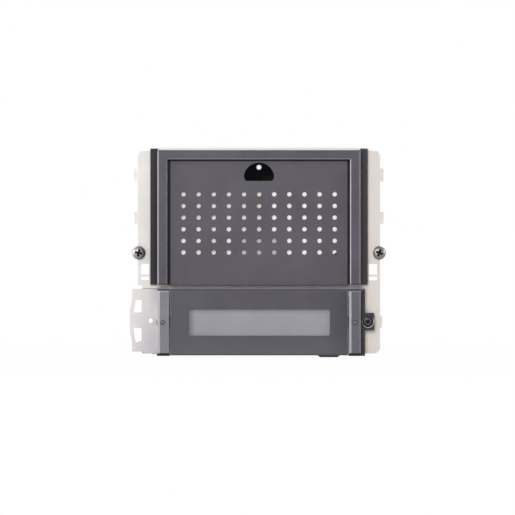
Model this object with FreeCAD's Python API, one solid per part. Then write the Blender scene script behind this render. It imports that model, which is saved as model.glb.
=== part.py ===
import FreeCAD, Part
import math
import os

# Door intercom module: a white moulded chassis with a dark loudspeaker grille above and a hinged
# name plate door with two call button bars below. X runs to the right, Z up, and the front looks
# along -Y. The origin lies between the two fixing screws, on the back face of the chassis plate.

V = FreeCAD.Vector
BACKWARD = V(0, 1, 0)
UP = V(0, 0, 1)
TINY = 1e-4
SIDES = 16
FINE_SIDES = 24

# Chassis plate
chassis_width = 104.4
height_above_screws = 45.4
height_below_screws = 43.4
plate_thick = 2.0
plate_corner_r = 4.3
plate_foot_r = 2.8
lug_reach = 1.5
lug_thick = 1.6
high_lug_drop = 8.9
high_lug_height = 5.7
mid_lug_drop = 27.7
mid_lug_height = 5.1
low_lug_height = 5.2
low_lug_reach = 0.9
side_window_inset = 1.2
side_window_width = 3.5
side_window_drop = 4.8
side_window_height = 4.6
side_slot_gap = 0.8
side_slot_height = 1.6

# Fixing screws, M3 pan heads, and the ears they pass through
screw_edge_inset = 0.4
fix_screw_r = 1.5
fix_hole_clear = 0.15
fix_head_r = 2.9
fix_head_height = 2.1
fix_head_dome = 1.1
fix_crown_r = 2.2
fix_neck_r = 1.3
fix_thread_length = 10.0
fix_ear_r = 2.7
cross_recess_r = 1.55
cross_recess_width = 0.7
cross_recess_depth = 1.2
cross_recess_turn = 18.0

# Housing behind the plate
tub_side_margin = 7.9
tub_top_margin = 2.8
tub_foot_margin = 2.2
tub_wall = 1.6
tub_depth = 15.0
tub_corner_r = 3.0
cover_depth = 8.0
cover_thick = 2.0
cover_lip = 2.0
cover_lip_thick = 1.0
lip_clear = 0.15
cover_boss_inset = 3.8
cover_boss_r = 2.5
cover_post_r = 2.0
cover_screw_r = 1.1
cover_hole_clear = 0.2
cover_head_r = 2.1
cover_head_height = 1.2
cover_head_sink = 0.1
cover_edge_chamfer = 0.8
hidden_sides = 8
thread_bite = 6.0

# Dark frame round the grille
frame_side_margin = 5.1
frame_top_margin = 0.5
frame_flange_width = 3.45
frame_flange_thick = 1.4
frame_top_flange = 0.8
frame_rail_width = 4.35
frame_proud = 6.0
frame_chamfer = 0.7
top_bar_height = 3.7
upper_unit_foot = 14.0
frame_foot_bar = 1.0
frame_ledge = 1.9
frame_ledge_thick = 1.0
frame_hook_width = 4.0
frame_hook_thick = 1.2
frame_hook_nib = 0.6
frame_hook_tip = 1.2
frame_hook_inset = 3.8
frame_hook_rises = (30.0, 6.0)
hook_clear = 0.15
seat_clear = 0.05
rail_inner_chamfer = 0.5

# Grille panel
grille_side_gap = 1.1
grille_top_gap = 0.7
grille_foot_gap = 0.3
grille_recess = 2.4
grille_thick = 1.6
grille_edge_chamfer = 0.25
hole_r = 1.0
hole_pitch_x = 6.5
hole_pitch_z = 5.0
hole_columns = 11
hole_rows = 6
grid_drop = 0.3
hole_sides = 8
perforated_wall = 0.7
pocket_margin = 3.4
pocket_spare = 4.6
pad_clear = 0.4
panel_hook_width = 5.0
panel_hook_thick = 1.0
panel_hook_nib = 0.5
panel_hook_tip = 0.7
panel_hook_rises = (30.0, -6.0)

# Half moon status window and its light pipe
moon_half = 6.5
moon_height = 8.3
moon_shoulder = 2.3
moon_foot_r = 1.2
moon_top_gap = 0.5
moon_recess = 0.4
moon_clear = 0.05
moon_dish_depth = 0.6
moon_dish_r = 3.6
moon_flange = 1.0
moon_flange_thick = 0.8
pipe_r = 1.15
pipe_drop = 2.4
pipe_clear = 0.05
pipe_proud = 0.15
pipe_tip_r = 0.8

# Fleece, loudspeaker and microphone
fleece_thick = 0.3
sound_pad_right = 3.0
speaker_x = 20.3
speaker_rise = 1.6
speaker_r = 13.5
speaker_mouth_r = 11.8
speaker_rim = 1.0
speaker_cup_r = 10.6
speaker_cup_depth = 5.6
speaker_sheet = 0.6
magnet_r = 7.5
magnet_height = 3.2
cone_sheet = 0.35
cone_depth = 2.6
cone_setback = 0.4
dust_cap_r = 4.5
dust_cap_rise = 1.0
surround_width = 1.6
gasket_thick = 0.5
collar_x = 19.5
collar_rise = 1.3
speaker_fleece_width = 30.0
speaker_fleece_height = 31.0
fleece_inset = 0.2
speaker_fleece_r = 5.0
boot_width = 17.0
boot_height = 9.0
boot_corner_r = 2.5
boot_x = 0.0
boot_rise = 1.3
boot_depth = 4.0
boot_clear = 0.1
capsule_r = 3.0
capsule_height = 2.7
sound_duct_r = 0.8
vent_strips = ((-34.2, 11.8), (-16.3, 6.6))
vent_seat = 1.5
vent_strip_drop = 3.2
vent_strip_height = 16.0

# Main board and what it carries
board_gap = 9.8
board_thick = 1.6
board_edge = 0.4
chip_thick = 1.6
chips = ((-14.0, 27.0, 9.0, 9.0), (-14.0, 8.0, 10.5, 7.5), (-31.0, -8.0, 6.0, 5.0))
capacitor_r = 3.15
capacitor_height = 7.4
capacitors = ((26.0, 30.5), (18.5, 30.5), (-31.0, 10.0))
coil_outer_r = 5.0
coil_inner_r = 2.2
coil_height = 4.5
coil_x = 8.0
coil_z = 28.5
led_width = 3.2
led_height = 2.8
led_thick = 1.2

# Rear connections and trimmers
terminal_width = 20.4
terminal_height = 9.0
terminal_x = -6.0
terminal_z = -30.0
terminal_ways = 4
terminal_setback = 0.6
wire_mouth_width = 3.2
wire_mouth_height = 2.8
wire_mouth_depth = 6.0
wire_mouth_rise = 0.8
terminal_screw_drop = 2.5
terminal_screw_sink = 0.8
terminal_slot_width = 0.5
terminal_slot_depth = 0.8
terminal_screw_r = 1.5
terminal_screw_height = 3.2
port_clear = 0.4
socket_width = 13.0
socket_height = 8.6
socket_wall = 1.1
socket_floor = 2.0
socket_setback = 0.5
socket_key_width = 3.0
socket_key_setback = 3.0
socket_x = 29.0
socket_high_z = -4.0
socket_low_z = -22.0
contact_width = 0.6
contact_length = 5.0
contact_pitch = 2.54
contact_columns = 4
trimmer_size = 7.0
trimmer_thick = 4.6
trimmer_z = -14.0
volume_x = -30.0
microphone_x = -17.0
rotor_r = 2.4
rotor_clear = 0.1
rotor_setback = 0.4
rotor_seat = 2.6
rotor_slot_width = 0.7
rotor_slot_depth = 1.2

# Button board behind the door
lower_board_gap = 1.2
lower_board_thick = 1.6
lower_board_height = 15.4
lower_board_rise = 4.1
lower_board_edge = 0.3
board_clip_width = 5.0
board_clip_thick = 1.2
board_clip_nib = 0.8
board_clip_x = 34.5
switch_rise = 7.0
switch_size = 4.5
switch_height = 2.6
switch_clear = 0.3
switch_side_gap = 0.55
plunger_r = 0.75
plunger_clear = 0.05
plunger_proud = 0.8
plunger_seat = 1.4
backlight_count = 4
backlight_pitch = 15.0
header_pins = 6
header_pitch = 2.54
header_width = 2.5
header_inset = 2.5
glow_width = 62.0
glow_height = 12.4
glow_thick = 1.2
glow_ledge = 0.8

# Name plate door
door_band = 1.5
door_overhang = 0.9
door_lift = 0.3
door_base_thick = 2.0
door_proud = 5.0
door_wall = 1.6
door_panel_chamfer = 0.7
door_flange = 1.9
end_ledge_height = 0.9
end_ledge_proud = 3.2
window_width = 60.8
window_height = 11.3
window_corner_r = 0.6
side_notch_height = 5.0
side_notch_depth = 0.5
lens_thick = 1.2
lens_recess = 0.7
lens_margin = 1.4
card_thick = 0.3
card_inset = 0.4
diffuser_inset = 0.2
diffuser_thick = 0.8
retainer_thick = 1.0
retainer_rim = 1.0
retainer_clear = 0.1
retainer_nib = 0.4
retainer_nib_width = 6.0
retainer_nib_x = 24.0
stack_clear = 0.05
pull_lug_x = 30.0
pull_lug_width = 9.8
pull_lug_reach = 0.6
pull_lug_thick = 2.0
pull_lug_taper = 1.2
lock_inset = 5.4
lock_rise = 0.3
tab_right = 2.95
tab_height = 7.7

# Call button bars
bar_outer_margin = 8.5
bar_width = 4.85
bar_gap = 0.3
bar_height = 27.3
bar_proud = 6.0
bar_cap_thick = 1.4
bar_chamfer = 0.6
bar_stem_width = 1.7
bar_stem_clear = 0.15
bar_bridge = 3.2
bar_stem_end = 1.6
bar_hook = 0.6
bar_hook_thick = 0.45
bar_travel = 0.5
bar_tip_gap = 0.1
bar_nose = 2.0
relief_clear = 0.2
light_r = 1.05
light_recess = 0.25
light_clear = 0.03

# Hinge
hinge_inset = 0.8
hinge_lift = 2.4
hinge_pin_r = 0.45
hinge_run_clear = 0.05
barrel_r = 0.9
knuckle_r = 1.1
knuckle_height = 2.2
knuckle_web = 1.7
hinge_gap = 0.15
barrel_gap = 0.15
pin_end_gap = 0.3

# Hinge leaf
leaf_reach = 3.5
leaf_shoulder = 1.0
leaf_thick = 1.2
leaf_seat = 1.0
leaf_recess_clear = 0.2
leaf_web = 1.0
leaf_neck = 1.7
leaf_top_slope = (10.0, 5.1)
leaf_foot_slope = (3.6, 8.8)
leaf_steps = ((2.3, 1.7), (6.2, 1.1), (0, 0.6))
leaf_strip = 1.5
leaf_bar_high = 4.2
leaf_bar_low = 2.5
leaf_window_inset = 1.6
leaf_window_height = 5.4
leaf_window_skew = 0.9
leaf_hole_r = 1.0
leaf_hole_inset = 5.4
leaf_hole_rise = 0.7
stake_r = 0.8
stake_head_r = 1.4
stake_head_thick = 0.6
stake_inset = 2.2
stake_rises = (-9.0, 9.0)

# Quarter turn lock of the door
spindle_r = 0.8
spindle_clear = 0.05
lock_head_r = 1.8
lock_head_height = 1.2
lock_head_bevel = 0.25
lock_socket_r = 1.0
lock_socket_depth = 0.8
hexagon = 6
lock_blade_length = 3.6
lock_blade_width = 1.0
lock_blade_thick = 0.8
lock_blade_gap = 0.1
ferrule_r = 2.8
ferrule_bore_r = 2.35
ferrule_bevel = 0.35
ferrule_proud = 1.0
ferrule_floor = 0.6
tab_floor = 0.6
tab_hole_r = 2.2
strike_r = 2.9
strike_thick = 1.5
strike_clear = 0.3

# Levels worked out from the sizes above
half_width = chassis_width / 2
plate_front = -plate_thick
plate_top = height_above_screws
plate_foot = -height_below_screws
screw_x = half_width - screw_edge_inset
tub_half = half_width - tub_side_margin
tub_top = plate_top - tub_top_margin
tub_foot = plate_foot + tub_foot_margin
tub_back = tub_depth
cover_back = tub_back + cover_depth
frame_half = half_width - frame_side_margin
frame_top = plate_top - frame_top_margin
frame_foot = -upper_unit_foot
bezel_half = frame_half - frame_flange_width
bezel_top = frame_top - frame_top_flange
bezel_front = plate_front - frame_proud
mouth_half = bezel_half - frame_rail_width
mouth_top = bezel_top - top_bar_height
grille_half = mouth_half - grille_side_gap
grille_top = mouth_top - grille_top_gap
grille_foot = frame_foot + grille_foot_gap
grille_front = bezel_front + grille_recess
grille_back = grille_front + grille_thick
pocket_level = grille_front + perforated_wall
grid_x = hole_pitch_x * (hole_columns - 1) / 2
grid_z = (grille_top + grille_foot) / 2 - grid_drop
grid_foot = grid_z - hole_pitch_z * (hole_rows - 1) / 2
speaker_z = grid_z + speaker_rise
collar_z = grid_z + collar_rise
boot_z = grid_foot + boot_rise
pocket_foot = grid_foot - pocket_spare
pocket_top = 2 * grid_z - pocket_foot
sound_pad_front = pocket_level + fleece_thick
ledge_back = grille_back + frame_ledge_thick
pocket_half = grille_half - pocket_margin
pad_half = pocket_half - pad_clear
board_front = board_gap
board_back = board_front + board_thick
cover_screw_seat = cover_back - cover_head_height - cover_head_sink
terminal_screw_z = terminal_z + terminal_height / 2 - terminal_screw_drop
board_half = tub_half - tub_wall - board_edge
board_top = tub_top - tub_wall - board_edge
board_foot = tub_foot + tub_wall + board_edge
boss_x = tub_half - cover_boss_inset
boss_high = tub_top - cover_boss_inset
boss_low = tub_foot + cover_boss_inset
moon_top = grille_top - moon_top_gap
moon_foot = moon_top - moon_height
moon_front = grille_front + moon_recess
pipe_z = moon_top - pipe_drop
door_top = frame_foot - door_band
door_foot = plate_foot - door_overhang
door_mid = (door_top + door_foot) / 2
door_height = door_top - door_foot
door_back = plate_front - door_lift
door_base_front = door_back - door_base_thick
door_front = plate_front - door_proud
bar_outer = half_width - bar_outer_margin
bar_inner = bar_outer - bar_width
bar_front = plate_front - bar_proud
bar_cap_back = bar_front + bar_cap_thick
bar_top = door_mid + bar_height / 2
bar_foot = door_mid - bar_height / 2
panel_half = bar_inner - bar_gap
lens_front = door_front + lens_recess
card_front = lens_front + lens_thick + stack_clear
diffuser_front = card_front + card_thick + stack_clear
retainer_front = diffuser_front + diffuser_thick + stack_clear
slot_inner = bar_inner
slot_outer = slot_inner + bar_stem_width + 2 * bar_stem_clear
switch_x = tub_half - tub_wall - switch_side_gap - switch_size / 2
switch_z = door_mid + switch_rise
slot_end = bar_height / 2 - end_ledge_height - bar_stem_end
hinge_x = hinge_inset - bar_outer
hinge_y = plate_front - hinge_lift
leaf_right = hinge_x - barrel_r + leaf_web
leaf_front = -leaf_seat - leaf_thick
door_left = hinge_x + barrel_r + hinge_gap
door_right = bar_outer + door_flange
lock_x = half_width - lock_inset
lock_z = door_mid + lock_rise
switch_front = lower_board_gap - switch_height
plunger_tip = switch_front - plunger_proud
bar_tip = plunger_tip - bar_tip_gap
stem_back = door_back - bar_travel
bar_x = (bar_outer + bar_inner) / 2
lower_board_back = lower_board_gap + lower_board_thick
lower_board_top = door_mid + lower_board_rise + lower_board_height / 2
lower_board_foot = lower_board_top - lower_board_height
lower_board_half = tub_half - tub_wall - lower_board_edge
ferrule_front = door_base_front - ferrule_proud
ferrule_back = door_back - tab_floor
lock_seat = ferrule_back - ferrule_floor - spindle_clear
lock_crown = lock_seat - lock_head_height
strike_back = plate_front + strike_thick
blade_front = strike_back + lock_blade_gap


def block(x0, x1, front, back, foot, top):
    """Plain block between two X, two Y and two Z levels."""
    return Part.makeBox(x1 - x0, back - front, top - foot, V(x0, front, foot))


def centred_block(x, z, width, height, front, back):
    """Block along Y that is centred on a point in X and Z."""
    return block(x - width / 2, x + width / 2, front, back, z - height / 2, z + height / 2)


def side_block(side, near, far, front, back, foot, top):
    """Block between two distances from the middle, on the left (-1) or on the right (1)."""
    return block(min(side * near, side * far), max(side * near, side * far), front, back, foot, top)


def peg(x, z, radius, front, back):
    """Round peg lying along Y."""
    return Part.makeCylinder(radius, back - front, V(x, front, z), BACKWARD)


def upright(x, y, radius, foot, top):
    """Round rod standing along Z."""
    return Part.makeCylinder(radius, top - foot, V(x, y, foot), UP)


def slab(points, front, back):
    """Flat outline in X and Z, made solid from its front to its back level."""
    corners = [V(x, front, z) for x, z in points]
    wire = Part.makePolygon(corners + corners[:1])
    return Part.Face(wire).extrude(V(0, back - front, 0))


def prism(x, z, radius, front, back, sides=hidden_sides):
    """Many-sided peg along Y, for small holes and for what stays inside the housing."""
    turns = [2 * math.pi * i / sides for i in range(sides)]
    return slab([(x + radius * math.cos(a), z + radius * math.sin(a)) for a in turns], front, back)


def faceted(x, z, profile, sides=FINE_SIDES):
    """Many-sided solid about a line along Y, from a closed profile of (radius, y) points."""
    rings = []
    for radius, y in profile:
        turns = [2 * math.pi * i / sides for i in range(sides if radius else 1)]
        rings.append([V(x + radius * math.cos(a), y, z + radius * math.sin(a)) for a in turns])
    faces = []
    for ring, following in zip(rings, rings[1:] + rings[:1]):
        for i in range(sides if len(ring) + len(following) > 2 else 0):
            j = (i + 1) % sides
            corners = [ring[i % len(ring)], following[i % len(following)]]
            corners += [following[j]] if len(following) > 1 else []
            corners += [ring[j]] if len(ring) > 1 else []
            faces.append(Part.Face(Part.makePolygon(corners + corners[:1])))
    return Part.Solid(Part.makeShell(faces)).removeSplitter()


def joined(pieces):
    """One solid from several that touch or overlap."""
    return pieces[0].multiFuse(pieces[1:]).removeSplitter()


def on_line(edge, x, z):
    """True for an edge along Y at the given X and Z."""
    return all(abs(v.X - x) < TINY and abs(v.Z - z) < TINY for v in edge.Vertexes)


def rounded(shape, corners, radius):
    """Round the edges along Y that stand at the given X and Z corners."""
    edges = [e for e in shape.Edges if any(on_line(e, x, z) for x, z in corners)]
    return shape.makeFillet(radius, edges)


def rounded_block(x0, x1, front, back, foot, top, radius):
    """Block whose four edges along Y are rounded."""
    corners = [(x0, foot), (x0, top), (x1, foot), (x1, top)]
    return rounded(block(x0, x1, front, back, foot, top), corners, radius)


def bevelled(shape, level, size):
    """Chamfer round the outline of the largest face that lies at one Y level."""
    flat = [f for f in shape.Faces if abs(f.BoundBox.YMin - level) < TINY and f.BoundBox.YLength < TINY]
    largest = max(flat, key=lambda face: face.BoundBox.DiagonalLength)
    return shape.makeChamfer(size, largest.OuterWire.Edges)


def snap_hook(side, reach, z, width, thick, nib, front, nib_front, back):
    """Spring hook that runs backwards along Y and whose tip catches outwards behind an edge."""
    leg = side_block(side, reach, reach + thick, front, back, z - width / 2, z + width / 2)
    tip = side_block(side, reach + thick, reach + thick + nib, nib_front, back, z - width / 2, z + width / 2)
    return joined([leg, tip])


def cover_boss_places():
    """Centres of the four bosses that carry the main board and take the rear cover's screws."""
    return [(side * boss_x, z) for side in (-1, 1) for z in (boss_low, boss_high)]


def frame_hook_places():
    """Side and height of the hooks that hold the dark frame to the plate."""
    return [(side, z) for side in (-1, 1) for z in frame_hook_rises]


def hole_places():
    """Centres of the grille's sound holes, column by column."""
    places = []
    for column in range(hole_columns):
        for row in range(hole_rows):
            places.append((column * hole_pitch_x - grid_x, grid_foot + row * hole_pitch_z))
    return places


def cross_recess(x, z, level):
    """Cross-shaped driver recess cut from a screw head at the given level."""
    bars = []
    for turn in (0, 90):
        bar = centred_block(0, 0, 2 * cross_recess_r, cross_recess_width, level, level + cross_recess_depth)
        bar.rotate(V(0, 0, 0), BACKWARD, turn + cross_recess_turn)
        bars.append(bar)
    recess = joined(bars)
    recess.translate(V(x, 0, z))
    return recess


def chassis_outline():
    """The flat plate with its lugs, ears and rounded corners."""
    plate = joined([
        block(-half_width, half_width, plate_front, 0, frame_foot, plate_top),
        block(-half_width + leaf_neck, half_width, plate_front, 0, plate_foot, frame_foot),
    ])
    plate = rounded(plate, [(-half_width, plate_top), (half_width, plate_top)], plate_corner_r)
    plate = rounded(plate, [(half_width, plate_foot)], plate_foot_r)
    edge = half_width + lug_reach
    pieces = [plate]
    for drop, height in ((high_lug_drop, high_lug_height), (mid_lug_drop, mid_lug_height)):
        pieces.append(block(-edge, edge, -lug_thick, 0, plate_top - drop - height, plate_top - drop))
    pieces.append(block(0, half_width + low_lug_reach, -lug_thick, 0, lock_z - low_lug_height / 2,
                        lock_z + low_lug_height / 2))
    pieces += [prism(side * screw_x, 0, fix_ear_r, plate_front, 0, SIDES) for side in (-1, 1)]
    return joined(pieces)


def side_windows():
    """Openings beside the dark frame that the fitter's hooks reach through."""
    near = half_width - side_window_inset
    far = near - side_window_width
    foot = -side_window_drop - side_window_height
    slot_top = foot - side_slot_gap
    cuts = []
    for side in (-1, 1):
        cuts.append(side_block(side, near, far, plate_front, 0, foot, -side_window_drop))
        cuts.append(side_block(side, near, far, plate_front, 0, slot_top - side_slot_height, slot_top))
    return cuts


def sound_block():
    """Raised pad and collar on the plate that bring the fleeces up to the grille."""
    pad = block(-pad_half, sound_pad_right, sound_pad_front, plate_front, pocket_foot + pad_clear,
                pocket_top - pad_clear)
    return [pad, fleece_outline(0, sound_pad_front, plate_front)]


def board_clips():
    """Four clips behind the plate that hold the button board by its long edges."""
    clips = []
    tip = lower_board_back + board_clip_nib
    for edge, out in ((lower_board_top, 1), (lower_board_foot, -1)):
        wall = edge + out * hook_clear
        lip = edge - out * board_clip_nib
        rim = wall + out * board_clip_thick
        outline = [(0, rim), (tip, rim), (tip, lip), (lower_board_back, lip), (lower_board_back, wall),
                   (lower_board_gap, wall), (lower_board_gap, lip), (0, lip)]
        for x in (-board_clip_x, board_clip_x):
            corners = [V(x - board_clip_width / 2, y, z) for y, z in outline]
            face = Part.Face(Part.makePolygon(corners + corners[:1]))
            clips.append(face.extrude(V(board_clip_width, 0, 0)))
    return clips


def chassis_openings():
    """Everything that is cut from the chassis plate."""
    cuts = side_windows()
    hole = fix_screw_r + fix_hole_clear
    cuts += [prism(side * screw_x, 0, hole, plate_front, 0, SIDES) for side in (-1, 1)]
    cuts.append(prism(speaker_x, speaker_z, speaker_mouth_r, sound_pad_front, 0, SIDES))
    cuts.append(boot_outline(boot_clear, sound_pad_front, 0))
    cuts.append(prism(0, pipe_z, pipe_r + hook_clear, plate_front, 0))
    cuts.append(centred_block(0, door_mid, glow_width, glow_height, plate_front, plate_front + glow_thick))
    cuts.append(centred_block(0, door_mid, glow_width - 2 * glow_ledge, glow_height - 2 * glow_ledge,
                              plate_front, 0))
    cuts.append(prism(lock_x, lock_z, strike_r, plate_front, 0, SIDES))
    mouth = switch_size + 2 * switch_clear
    for side in (-1, 1):
        cuts.append(centred_block(side * switch_x, switch_z, mouth, mouth, plate_front, 0))
    for side, z in frame_hook_places():
        inner = bezel_half - frame_hook_inset - hook_clear
        outer = bezel_half - frame_hook_inset + frame_hook_thick + hook_clear
        half = frame_hook_width / 2 + hook_clear
        cuts.append(side_block(side, inner, outer, plate_front, 0, z - half, z + half))
    for x, z in cover_boss_places():
        cuts.append(prism(x, z, cover_screw_r, board_front - thread_bite, board_front))
    for x, z, width, height in vent_places():
        cuts.append(centred_block(x, z, width, height, sound_pad_front, sound_pad_front + fleece_thick))
        cuts.append(centred_block(x, z, width - 2 * vent_seat, height - 2 * vent_seat, sound_pad_front, 0))
    return cuts + leaf_seat_cuts()


def chassis():
    """White moulded chassis: plate, sound pad, housing walls, bosses and board clips."""
    outer = rounded_block(-tub_half, tub_half, 0, tub_back, tub_foot, tub_top, tub_corner_r)
    inner = rounded_block(tub_wall - tub_half, tub_half - tub_wall, 0, tub_back, tub_foot + tub_wall,
                          tub_top - tub_wall, tub_corner_r - tub_wall)
    bosses = [prism(x, z, cover_boss_r, 0, board_front) for x, z in cover_boss_places()]
    pieces = [chassis_outline(), outer.cut(inner)] + sound_block() + bosses + board_clips()
    return joined(pieces).cut(chassis_openings())


def vent_places():
    """Centre, width and height of the fleece strips on the left of the sound pad."""
    z = grid_foot - vent_strip_drop + vent_strip_height / 2
    return [(left + width / 2, z, width, vent_strip_height) for left, width in vent_strips]


def upper_frame():
    """Dark frame: a raised, bevelled rail on three sides, a thin flange at each side, and hooks."""
    flange_front = plate_front - frame_flange_thick
    flange = block(-frame_half, frame_half, flange_front, plate_front, frame_foot, frame_top)
    flange = flange.cut([block(-mouth_half, mouth_half, flange_front, plate_front,
                               frame_foot + frame_foot_bar, mouth_top),
                         block(-bezel_half, bezel_half, flange_front, plate_front, bezel_top, frame_top)])
    rail = block(-bezel_half, bezel_half, bezel_front, plate_front, frame_foot, bezel_top)
    rail = bevelled(rail, bezel_front, frame_chamfer)
    rail = rail.cut(block(-mouth_half, mouth_half, bezel_front - frame_proud, plate_front,
                          frame_foot - frame_proud, mouth_top))
    inner = [e for e in rail.Edges
             if e.BoundBox.YLength < TINY and abs(e.BoundBox.YMin - bezel_front) < TINY
             and e.BoundBox.XMin > -mouth_half - TINY and e.BoundBox.XMax < mouth_half + TINY]
    rail = rail.makeChamfer(rail_inner_chamfer, inner)
    ledge = block(-mouth_half, mouth_half, grille_back, ledge_back, frame_foot, mouth_top)
    ledge = ledge.cut(block(frame_ledge - mouth_half, mouth_half - frame_ledge, grille_back, ledge_back,
                            frame_foot + frame_foot_bar, mouth_top - frame_ledge))
    hooks = [snap_hook(side, bezel_half - frame_hook_inset, z, frame_hook_width, frame_hook_thick,
                       frame_hook_nib, plate_front, seat_clear, frame_hook_tip)
             for side, z in frame_hook_places()]
    return joined([flange, rail, ledge] + hooks)


def moon_outline(grow, front, back):
    """Half moon prism: an arc over two shoulders, with a flat foot and rounded corners."""
    half = moon_half + grow
    foot = moon_foot - grow
    top = moon_top + grow
    shoulder = moon_foot + moon_shoulder
    swing = 1 - math.sqrt(0.5)
    left = V(-half, front, shoulder)
    right = V(half, front, shoulder)
    foot_left = V(moon_foot_r - half, front, foot)
    foot_right = V(half - moon_foot_r, front, foot)
    bend_x = half - moon_foot_r * swing
    bend_z = foot + (shoulder - foot) * swing
    edges = [Part.Arc(left, V(0, front, top), right).toShape(),
             Part.Arc(right, V(bend_x, front, bend_z), foot_right).toShape(),
             Part.makeLine(foot_right, foot_left),
             Part.Arc(foot_left, V(-bend_x, front, bend_z), left).toShape()]
    return Part.Face(Part.Wire(edges)).extrude(V(0, back - front, 0))


def grille_panel():
    """Perforated panel, thinned behind the holes, with the half moon cut-out and hooks behind."""
    panel = block(-grille_half, grille_half, grille_front, grille_back, grille_foot, grille_top)
    panel = bevelled(panel, grille_front, grille_edge_chamfer)
    reach = mouth_half - frame_ledge - hook_clear - panel_hook_thick
    hooks = [snap_hook(side, reach, z, panel_hook_width, panel_hook_thick, panel_hook_nib, grille_back,
                       ledge_back + seat_clear, ledge_back + panel_hook_tip)
             for side in (-1, 1) for z in panel_hook_rises]
    cuts = [prism(x, z, hole_r, grille_front, grille_back, hole_sides) for x, z in hole_places()]
    cuts.append(block(-pocket_half, pocket_half, pocket_level, grille_back, pocket_foot, pocket_top))
    cuts.append(moon_outline(0, grille_front, grille_back))
    return joined([panel] + hooks).cut(cuts)


def status_window():
    """Black half moon insert with a dished face and a hole for the light pipe."""
    skirt_back = grille_back + moon_flange_thick
    body = moon_outline(-moon_clear, moon_front, grille_back)
    skirt = moon_outline(moon_flange, grille_back, skirt_back)
    skirt = skirt.common(block(-bezel_half, bezel_half, grille_back, skirt_back, frame_foot,
                               mouth_top - frame_ledge - moon_clear))
    above = moon_front - moon_recess
    floor = moon_front + moon_dish_depth
    dish = faceted(0, moon_foot + moon_shoulder, [(0, above), (moon_half, above), (moon_half, moon_front),
                                                  (moon_dish_r, floor), (0, floor)])
    hole = prism(0, pipe_z, pipe_r + pipe_clear, moon_front, skirt_back, SIDES)
    return joined([body, skirt]).cut([dish, hole])


def status_light_pipe():
    """White light pipe that carries the status light forward to the half moon window."""
    front = moon_front - pipe_proud
    back = board_front - led_thick
    return faceted(0, pipe_z, [(0, front), (pipe_tip_r, front), (pipe_r, front + pipe_proud),
                               (pipe_r, back), (0, back)], SIDES)


def fleece_outline(inset, front, back):
    """Rounded outline of the loudspeaker's collar, drawn in by an inset."""
    half_w = speaker_fleece_width / 2 - inset
    half_h = speaker_fleece_height / 2 - inset
    return rounded_block(collar_x - half_w, collar_x + half_w, front, back, collar_z - half_h,
                         collar_z + half_h, speaker_fleece_r)


def speaker_fleece():
    """White fleece that keeps dust out of the loudspeaker."""
    sheet = fleece_outline(fleece_inset, pocket_level, sound_pad_front)
    return sheet.cut(boot_outline(boot_clear, pocket_level, sound_pad_front))


def vent_fleeces():
    """White fleece strips over the vents in the left part of the sound pad."""
    back = sound_pad_front + fleece_thick
    return Part.makeCompound([centred_block(x, z, width, height, sound_pad_front, back)
                              for x, z, width, height in vent_places()])


def boot_outline(grow, front, back):
    """Rounded outline of the microphone boot, grown by a clearance."""
    half_w = boot_width / 2 + grow
    half_h = boot_height / 2 + grow
    return rounded_block(boot_x - half_w, boot_x + half_w, front, back, boot_z - half_h, boot_z + half_h,
                         boot_corner_r)


def microphone_boot():
    """Grey rubber boot that leads one grille hole to the microphone."""
    body = boot_outline(0, pocket_level, boot_depth)
    seat = prism(boot_x, boot_z, capsule_r, boot_depth - capsule_height, boot_depth)
    duct = prism(boot_x, grid_foot, sound_duct_r, pocket_level, boot_depth)
    return body.cut([seat, duct])


def microphone_capsule():
    """Round microphone capsule in the boot."""
    return prism(boot_x, boot_z, capsule_r, boot_depth - capsule_height, boot_depth)


def speaker_basket():
    """Pressed steel basket: a flat rim, a step for the cone's edge and a tapered cup."""
    back = gasket_thick + speaker_cup_depth
    return faceted(speaker_x, speaker_z, [
        (0, back), (speaker_cup_r, back), (speaker_mouth_r + speaker_sheet, gasket_thick + speaker_sheet),
        (speaker_r, gasket_thick + speaker_sheet), (speaker_r, gasket_thick), (speaker_mouth_r, gasket_thick),
        (speaker_mouth_r, gasket_thick + speaker_rim), (speaker_cup_r - speaker_sheet, back - speaker_sheet),
        (0, back - speaker_sheet)], SIDES)


def speaker_gasket():
    """Foam ring between the basket's rim and the chassis."""
    return faceted(speaker_x, speaker_z, [(speaker_mouth_r, 0), (speaker_r, 0), (speaker_r, gasket_thick),
                                          (speaker_mouth_r, gasket_thick)], SIDES)


def speaker_cone():
    """Shallow paper cone with a flat surround and a raised dust cap, in one sheet."""
    edge = gasket_thick + cone_setback
    neck = edge + cone_depth
    front = [(0, neck - dust_cap_rise), (dust_cap_r, neck), (speaker_mouth_r - surround_width, edge),
             (speaker_mouth_r, edge)]
    rear = [(radius, y + cone_sheet) for radius, y in reversed(front)]
    return faceted(speaker_x, speaker_z, front + rear, SIDES)


def speaker_magnet():
    """Magnet with its pole cup behind the basket."""
    front = gasket_thick + speaker_cup_depth
    back = front + magnet_height
    return prism(speaker_x, speaker_z, magnet_r, front, back, SIDES)


def main_board():
    """Main circuit board, clamped between the chassis bosses and the cover's posts."""
    board = rounded_block(-board_half, board_half, board_front, board_back, board_foot, board_top,
                          tub_corner_r - tub_wall)
    return board.cut([prism(x, z, cover_screw_r + cover_hole_clear, board_front, board_back)
                      for x, z in cover_boss_places()])


def board_chips():
    """Flat moulded chips on the rear of the main board."""
    return Part.makeCompound([centred_block(x, z, width, height, board_back, board_back + chip_thick)
                              for x, z, width, height in chips])


def board_capacitors():
    """Upright electrolytic capacitors on the rear of the main board."""
    return Part.makeCompound([prism(x, z, capacitor_r, board_back, board_back + capacitor_height)
                              for x, z in capacitors])


def line_coil():
    """Ring coil that feeds the board from the line."""
    ring = prism(coil_x, coil_z, coil_outer_r, board_back, board_back + coil_height)
    return ring.cut(prism(coil_x, coil_z, coil_inner_r, board_back, board_back + coil_height))


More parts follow.
